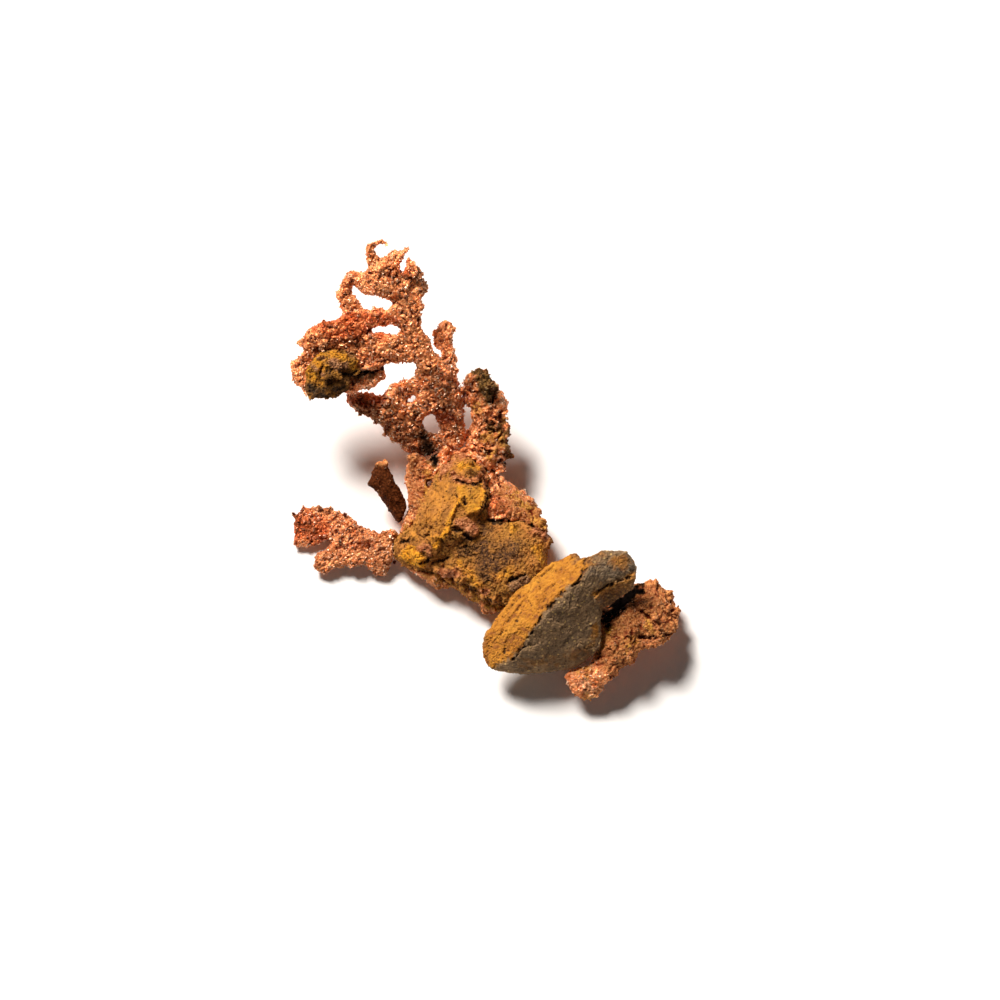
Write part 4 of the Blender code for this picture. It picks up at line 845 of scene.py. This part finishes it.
def crust():
    """The crust: slabs and a rim at its upper left, crumbs below, cracks with painted shade in them and
    between the crumbs, and copper coming through.
    """
    piece = copy_of("ochre_crust", "ochre_crust_look")
    skin(piece, 0.14, smooth=4)
    swell(piece, 0.22)
    push(piece, LUMPS, 0.25)
    outline = [
        (-5.7, 3.2), (-4.9, 3.4), (-4.6, 4.2), (-3.3, 4.4), (-2.3, 3.9), (-1.6, 2.7), (-1.3, 1.6),
        (-1.3, 0.0), (-1.8, -1.2), (-1.2, -2.3), (0.6, -2.6), (1.8, -2.2), (3.0, -2.9), (4.3, -3.2),
        (5.4, -4.6), (6.0, -7.0), (3.0, -10.5), (0.0, -10.2), (-2.0, -9.4), (-3.2, -8.2), (-5.2, -7.4),
        (-7.4, -6.8), (-9.2, -6.8), (-10.6, -6.0), (-10.2, -4.0), (-8.4, -2.6), (-7.8, -1.2), (-6.9, 0.6),
        (-6.1, 2.4)]
    edge = cover(piece, [[(a, b, 0.45) for a, b in [*outline, outline[0]]]], 0.3, 0.3, least_facing=-1.0)
    wash(piece, "bare", 1.0 - edge)
    strew(piece, 4.0, (0.16, 0.14, 0.12), (0.46, 0.38, 0.30), 70, sides=6)
    rolls = [
        (-4.7, 2.7, 0.3), (-4.4, 2.2, 0.34), (-3.8, 1.9, 0.36), (-3.1, 1.8, 0.36), (-2.4, 2.0, 0.36),
        (-1.9, 2.5, 0.36)]
    buds(piece, [*rolls, (-3.9, 3.4, 0.5), (-3.1, 3.7, 0.5), (-3.2, 3.0, 0.5), (-1.9, 3.2, 0.4),
        (-2.0, 3.9, 0.3), (-1.4, 2.2, 0.4), (-6.4, -7.0, 0.5), (-5.4, -7.2, 0.6), (-4.0, -7.8, 0.5),
        (-2.6, -8.6, 0.5), (-1.6, -9.6, 0.5), (-0.6, -10.0, 0.5)], 72)
    skin(piece, FINE)
    plate = [
        (-4.5, 1.9), (-3.3, 1.7), (-1.8, 2.0), (-1.3, 1.4), (-1.4, 0.0), (-1.9, -1.2), (-3.2, -1.4),
        (-3.9, -0.6), (-4.4, 0.6)]
    nodule = [(-4.2, 3.2, 0.6), (-3.2, 3.3, 0.9), (-2.2, 3.2, 0.5)]
    rim = [(-3.9, 0.3, 0.16), (-4.8, -1.4, 0.24), (-5.3, -3.0, 0.3), (-6.5, -4.6, 0.3)]
    patch = [(-4.3, -2.2, 0.45), (-3.4, -2.4, 0.55), (-2.6, -3.2, 0.6)]
    chunk = [(-10.2, -5.6), (-9.2, -4.4), (-8.2, -4.6), (-7.4, -5.8), (-7.6, -6.9), (-9.2, -6.4)]
    stone = [(-7.9, -4.6, 0.4), (-7.2, -5.0, 0.5)]
    pebble = [(1.3, -8.6, 0.45), (2.5, -8.0, 0.5)]
    knobs = [[(-6.4, -7.4, 0.55)], [(-5.0, -7.2, 0.65)], [(-3.2, -7.4, 0.5)], [(-2.2, -8.8, 0.6)],
             [(-0.8, -9.6, 0.5)], [(-6.7, -4.0, 0.4), (-6.1, -3.8, 0.4)]]
    broken = cover(piece, [[(-10.4, -3.6), (-6.8, -2.2), (-4.6, -2.6), (-1.4, -3.4), (-2.4, -6.2),
        (2.8, -7.4), (1.6, -10.6), (-4.0, -9.6), (-9.0, -7.4)]], 1.0, 0.6)
    splits = shatter(piece, broken, (0.95, 0.95, 0.95), 0.34, 0.10, 3.0)
    layers = cover(piece, [
        [(-5.6, 3.6), (-4.6, 1.9), (-4.6, -0.4), (-5.8, -3.0), (-8.4, -3.4), (-7.4, -0.4)]], 0.6, 0.4)
    shatter(piece, layers, (2.0, 0.6, 0.7), 0.22, 0.05, 8.0, turn=58)
    press(piece, [plate], -0.32, soft=0.15, ragged=0.25, shift=5.0)
    press(piece, [nodule], -0.25, soft=0.5, ragged=0.3)
    press(piece, [rim, patch, stone, *knobs], -0.28, soft=0.25, ragged=0.2)
    press(piece, [chunk, pebble], -0.34, soft=0.2, ragged=0.15)
    grainy = cover(piece, [
        [(-1.4, -2.8), (3.4, -2.6), (5.4, -5.0), (5.0, -7.6), (1.0, -8.6), (-2.4, -8.0), (-3.2, -5.4)]],
        1.0, 0.6)
    push(piece, CELLS, 0.42, middle=0.3, group=group_of(piece, "grainy", 0.15 + 0.85 * grainy))
    push(piece, GRIT, 0.12)
    cracks = [
        [(-1.2, 1.4, 0.08), (-1.3, 0.1, 0.12), (-1.7, -0.9, 0.12), (-2.2, -1.7, 0.12)],
        [(-4.2, 1.9, 0.06), (-3.3, 1.6, 0.12), (-2.5, 1.6, 0.12), (-1.8, 1.9, 0.08)],
        [(-3.6, 0.5, 0.06), (-3.45, -0.35, 0.08)],
        [(-4.8, -2.7, 0.12), (-4.0, -3.1, 0.2), (-3.4, -3.4, 0.2), (-2.7, -3.9, 0.22), (-2.0, -3.3, 0.12)],
        [(-4.6, -2.9, 0.3), (-4.2, -2.95, 0.3)],
        [(-1.3, -1.95, 0.15), (-0.7, -2.3, 0.25), (0.05, -2.35, 0.25), (0.5, -2.0, 0.15)],
        [(-9.8, -4.2, 0.12), (-9.0, -4.1, 0.2), (-8.3, -4.4, 0.15)],
        [(-8.0, -6.4, 0.08), (-7.2, -6.0, 0.1)],
        [(-6.2, -6.2, 0.08), (-5.2, -5.8, 0.12)],
        [(0.9, -8.1, 0.12), (1.7, -7.7, 0.2), (2.4, -7.4, 0.12)],
        [(-4.2, -4.8, 0.15), (-3.4, -4.6, 0.2), (-3.0, -5.2, 0.15)],
        [(-3.1, -8.6, 0.2), (-2.6, -9.0, 0.2)],
        [(-1.4, -9.8, 0.2), (-0.4, -10.6, 0.2)],
    ]
    crack(piece, 0.55, 0.85, *cracks)
    # painted shade between the broken fragments
    wash(piece, "dark", 0.15 * splits)
    paint(piece, "slab", 1.0, 0.8, 0.6, [(-5.6, 3.6), (-4.4, 1.8), (-4.4, -0.4), (-4.8, -2.2), (-6.4, -4.2),
        (-9.2, -3.8), (-7.8, -1.4), (-6.6, 0.6), (-6.2, 2.2)])
    paint(piece, "slab", 0.8, 0.6, 0.4, nodule)
    paint(piece, "bright", 0.5, 0.5, 0.6, plate)
    paint(piece, "bright", 0.8, 0.4, 0.5, [(-1.9, 1.4, 0.35), (-1.7, 0.0, 0.4), (-2.4, -0.8, 0.35)],
        [(-4.1, 1.2, 0.3)], [(-2.0, 3.2, 0.35)], [(-3.8, 3.3, 0.4), (-3.0, 3.5, 0.4)])
    paint(piece, "brown", 0.4, 0.8, 1.0, [(-2.9, 1.0, 0.3), (-2.6, 0.0, 0.3)],
        [(-4.9, 2.2, 0.3), (-4.8, 1.0, 0.3)], [(-5.4, -1.6, 0.4), (-6.2, -2.6, 0.4)], [(-7.6, -3.0, 0.4)])
    paint(piece, "bright", 1.0, 0.25, 0.2, rim, chunk)
    paint(piece, "bright", 0.6, 0.6, 0.5, [(-6.8, -4.0, 0.35), (-6.1, -3.8, 0.4)],
        [(-3.2, -7.2, 0.4), (-2.0, -8.6, 0.5)], [(0.2, -7.6, 0.5), (0.8, -6.8, 0.4)], [(-4.0, -6.4, 0.4)],
        [(3.8, -5.0, 0.5), (4.4, -6.4, 0.5)], [(1.2, -2.8, 0.4)])
    paint(piece, "brown", 1.0, 1.2, 0.9, [(-1.6, -4.8, 1.0), (-1.2, -6.4, 1.1), (1.4, -5.0, 0.9)],
        [(-1.6, -7.6, 0.6)], [(-1.4, -3.0, 0.6)], [(-3.8, -4.6, 0.5), (-3.2, -5.2, 0.5)])
    paint(piece, "grey", 0.9, 0.3, 0.25, pebble)
    paint(piece, "copper", 0.8, 0.5, 0.5, patch, rolls, stone, [(-4.6, 4.3, 0.3), (-3.2, 4.5, 0.35)],
        [(-1.7, 3.6, 0.4), (-1.4, 2.4, 0.3), (-1.3, 1.4, 0.25)], [(-5.9, 2.6, 0.4), (-5.2, 3.7, 0.5)],
        [(-5.6, -7.6, 0.7), (-4.6, -7.2, 0.6)], [(-1.6, -9.2, 0.5)], [(3.6, -3.0, 0.5), (4.6, -3.6, 0.4)])
    wash(piece, "bare", 0.75 * cover(piece, [
        plate, [(-5.6, 3.6), (-4.4, -0.4), (-6.4, -4.2), (-9.2, -3.8), (-6.6, 0.6)]], 0.6, 0.4))
    thin_to(piece, 110000)
    read_relief(piece)
    strew(piece, 14.0, (0.05, 0.05, 0.04), (0.19, 0.16, 0.13), 71)
    finish(piece, "ochre_crust", OCHRE)


def clump():
    """The clump: rounded lumps, broken and pitted, with brown edges, and painted shade on its lower side, in
    a groove and between its pieces.
    """
    piece = copy_of("limonite_clump", "limonite_clump_look")
    buds(piece, [(-16.9, 12.7, 0.8), (-16.1, 13.0, 0.7), (-15.2, 12.5, 0.5), (-17.8, 12.4, 0.6),
        (-18.9, 12.8, 0.5), (-14.4, 12.8, 0.4)], 80)
    buds(piece, [(-17.5, 13.4, 0.7), (-16.9, 13.3, 0.7), (-16.3, 13.2, 0.6), (-17.3, 12.7, 0.6)],
        82, sink=-0.4)
    buds(piece, [(-17.5, 12.4, 0.5), (-16.9, 12.4, 0.5), (-16.3, 12.5, 0.5)], 83, sink=-0.3)
    skin(piece, FINE, smooth=2)
    swell(piece, 0.12)
    whole = np.ones(len(piece.data.vertices))
    splits = shatter(piece, whole, (1.5, 1.5, 1.5), 0.35, 0.06, 2.0)
    shatter(piece, whole, (0.6, 0.6, 0.6), 0.28, 0.1, 4.0)
    push(piece, LUMPS, 0.2)
    push(piece, GRIT, 0.14)
    deep = press(piece, [[(-16.0, 12.7, 0.06), (-15.0, 12.5, 0.12), (-14.2, 12.9, 0.1)]], 0.3)
    # painted shade in the groove and between the broken pieces
    wash(piece, "dark", np.maximum(0.9 * deep, 0.1 * splits))
    paint(piece, "brown", 0.9, 0.6, 0.6, [(-19.0, 15.0, 0.25), (-17.2, 15.3, 0.3)],
        [(-15.8, 15.3, 0.3), (-14.4, 14.6, 0.3)], [(-16.9, 13.8, 0.5), (-15.6, 13.4, 0.5)],
        [(-17.8, 12.6, 0.3)], [(-17.6, 14.0, 0.25)], [(-18.6, 13.2, 0.2)])
    # painted shade on the clump's lower side and along a thin crease near its top
    paint(piece, "dark", 0.8, 0.7, 0.6, [(-18.8, 11.2, 0.5), (-17.8, 10.6, 0.5)],
        [(-16.6, 10.9, 0.3), (-15.6, 11.2, 0.3)], [(-19.2, 14.2, 0.12), (-18.2, 15.0, 0.12)])
    paint(piece, "slab", 1.0, 0.8, 0.7, [(-18.6, 12.6, 0.9), (-17.6, 13.8, 1.0), (-15.8, 14.2, 0.8)],
        [(-14.6, 13.3, 0.5)], [(-18.0, 11.8, 0.5)])
    thin_to(piece, 40000)
    read_relief(piece)
    strew(piece, 12.0, (0.05, 0.05, 0.05), (0.19, 0.15, 0.12), 81)
    finish(piece, "limonite_clump", LIMONITE)


def rock():
    """The rock: ledges, a ridge with the ochre face on one side of it, cracks with painted shade in them, and
    a brown lump under it, ochre on its upper left: colours that are partly painted light and shade.
    """
    piece = copy_of("matrix_rock", "matrix_rock_look")
    skin(piece, FINE, smooth=3)
    swell(piece, 0.06)
    whole = np.ones(len(piece.data.vertices))
    shatter(piece, whole, (1.6, 1.6, 1.6), 0.16, 0.03, 4.0)
    ridge = [
        (1.2, -15.8), (2.3, -14.5), (3.0, -13.2), (4.0, -11.7), (5.2, -10.3), (6.5, -9.0), (7.5, -8.3),
        (8.4, -7.2), (9.2, -6.3)]
    face = [
        (-2.2, -15.4), (-1.4, -13.2), (0.0, -10.6), (3.8, -6.8), (6.0, -5.2), (8.6, -4.9), *reversed(ridge),
        (-0.6, -16.6), (-1.8, -16.6)]
    stained = cover(piece, [face], 0.35, 0.4, least_facing=-1.0)
    shatter(piece, stained, (2.2, 0.6, 0.8), 0.2, 0.08, 5.0, turn=48)
    push(piece, LUMPS, 0.2)
    push(piece, GRIT, 0.16)
    lump = [(9.8, -9.8, 0.5), (11.2, -9.2, 0.8), (12.6, -8.6, 0.8), (13.4, -8.0, 0.5)]
    press(piece, [lump], -0.35, soft=0.4, ragged=0.3)
    wash(piece, "ochre", stained)
    crack(piece, 0.3, 0.75, [(a + 0.1, b - 0.05, 0.06) for a, b in ridge[:4]],
        [(a + 0.02, b, 0.1) for a, b in ridge[3:6]], [(6.4, -9.1, 0.08), (7.9, -8.0, 0.08)],
        [(9.6, -9.0, 0.08), (11.0, -8.4, 0.12), (12.8, -7.7, 0.1)], [(8.0, -7.6, 0.08), (8.6, -6.8, 0.1)])
    paint(piece, "brown", 0.8, 0.9, 0.8, [(7.6, -5.6, 0.4), (9.0, -5.8, 0.7), (9.8, -5.2, 0.5)])
    # the lump: brown below and ochre on its upper left, partly its colours and partly painted shade and
    # painted light
    paint(piece, "brown", 0.7, 0.9, 0.8, [(a + 0.1, b - 0.3, r) for a, b, r in lump])
    paint(piece, "ochre", 0.9, 0.8, 0.6, [(a - 0.2, b + 0.4, 0.4) for a, b, r in lump])
    paint(piece, "ochre", 0.35, 0.8, 0.9, [(7.0, -15.4, 0.3), (9.0, -14.4, 0.3)],
        [(2.2, -16.4, 0.3), (5.4, -16.0, 0.3)])
    paint(piece, "ochre", 0.8, 0.6, 0.6, [(11.6, -6.2, 0.6), (12.3, -6.2, 0.7)],
        [(11.2, -9.0, 0.4), (12.4, -8.4, 0.4)], [(9.2, -5.4, 0.3)], [(9.6, -12.6, 0.25), (9.2, -13.6, 0.3)])
    paint(piece, "bright", 0.35, 1.0, 0.8, [(2.6, -8.8, 0.3), (5.4, -6.6, 0.4)],
        [(0.2, -13.6, 0.3), (2.0, -12.0, 0.4)], [(0.4, -15.2, 0.3)])
    paint(piece, "pale", 0.7, 1.2, 0.9,
        [(9.4, -7.2, 0.6), (11.0, -7.2, 0.8), (13.2, -6.4, 1.0), (13.4, -5.6, 0.6)])
    thin_to(piece, 110000)
    read_relief(piece)
    strew(piece, 2.6, (0.04, 0.04, 0.04), (0.13, 0.12, 0.10), 91)
    finish(piece, "matrix_rock", ROCK)


crust()
clump()
rock()

# -------- floor, light and camera


def bench():
    """A plain pale floor."""
    bpy.ops.object.select_all(action="DESELECT")
    bpy.ops.mesh.primitive_plane_add(size=BENCH_SIZE, location=(0.0, 0.0, 0.0))
    floor = bpy.context.object
    floor.name = "bench"
    material = bpy.data.materials.new("white_matt_card")
    material.use_nodes = True
    shader = material.node_tree.nodes["Principled BSDF"]
    shader.inputs["Base Color"].default_value = colour("F4F3F2")
    shader.inputs["Roughness"].default_value = 0.9
    shader.inputs["Specular IOR Level"].default_value = 0.2
    floor.data.materials.append(material)


def lamp(name, direction, size, watts, tint):
    """A square lamp that shines on the nugget from a direction."""
    data = bpy.data.lights.new(name, "AREA")
    data.size = size
    data.energy = watts
    data.color = colour(tint)[:3]
    lamp_object = bpy.data.objects.new(name, data)
    bpy.context.scene.collection.objects.link(lamp_object)
    lamp_object.location = Vector(direction).normalized() * LAMP_AWAY
    lamp_object.rotation_euler = (-lamp_object.location).to_track_quat("-Z", "Y").to_euler()


def light():
    world = bpy.data.worlds.new("studio")
    world.use_nodes = True
    background = world.node_tree.nodes["Background"]
    background.inputs["Color"].default_value = colour("FFF4EA")
    background.inputs["Strength"].default_value = 0.05
    bpy.context.scene.world = world
    lamp("key", (-0.48, 0.60, 1.0), 0.32, 19.0, "FFFAF4")
    lamp("front", (0.1, -0.9, 1.1), 0.5, 0.3, "FFFFFF")


def camera():
    data = bpy.data.cameras.new("camera")
    data.sensor_width = SENSOR
    data.lens = SENSOR * CAMERA_AWAY / (VIEW_WIDTH * MM)
    data.clip_end = 10.0
    holder = bpy.data.objects.new("camera", data)
    bpy.context.scene.collection.objects.link(holder)
    aim = Vector((*DRAWING_ORIGIN, 0.0)) * MM
    holder.location = aim + SIGHT * CAMERA_AWAY
    holder.rotation_euler = (-SIGHT).to_track_quat("-Z", "Y").to_euler()
    bpy.context.scene.camera = holder


bench()
light()
camera()
bpy.context.scene.view_settings.view_transform = "Standard"
bpy.context.scene.view_settings.look = "None"
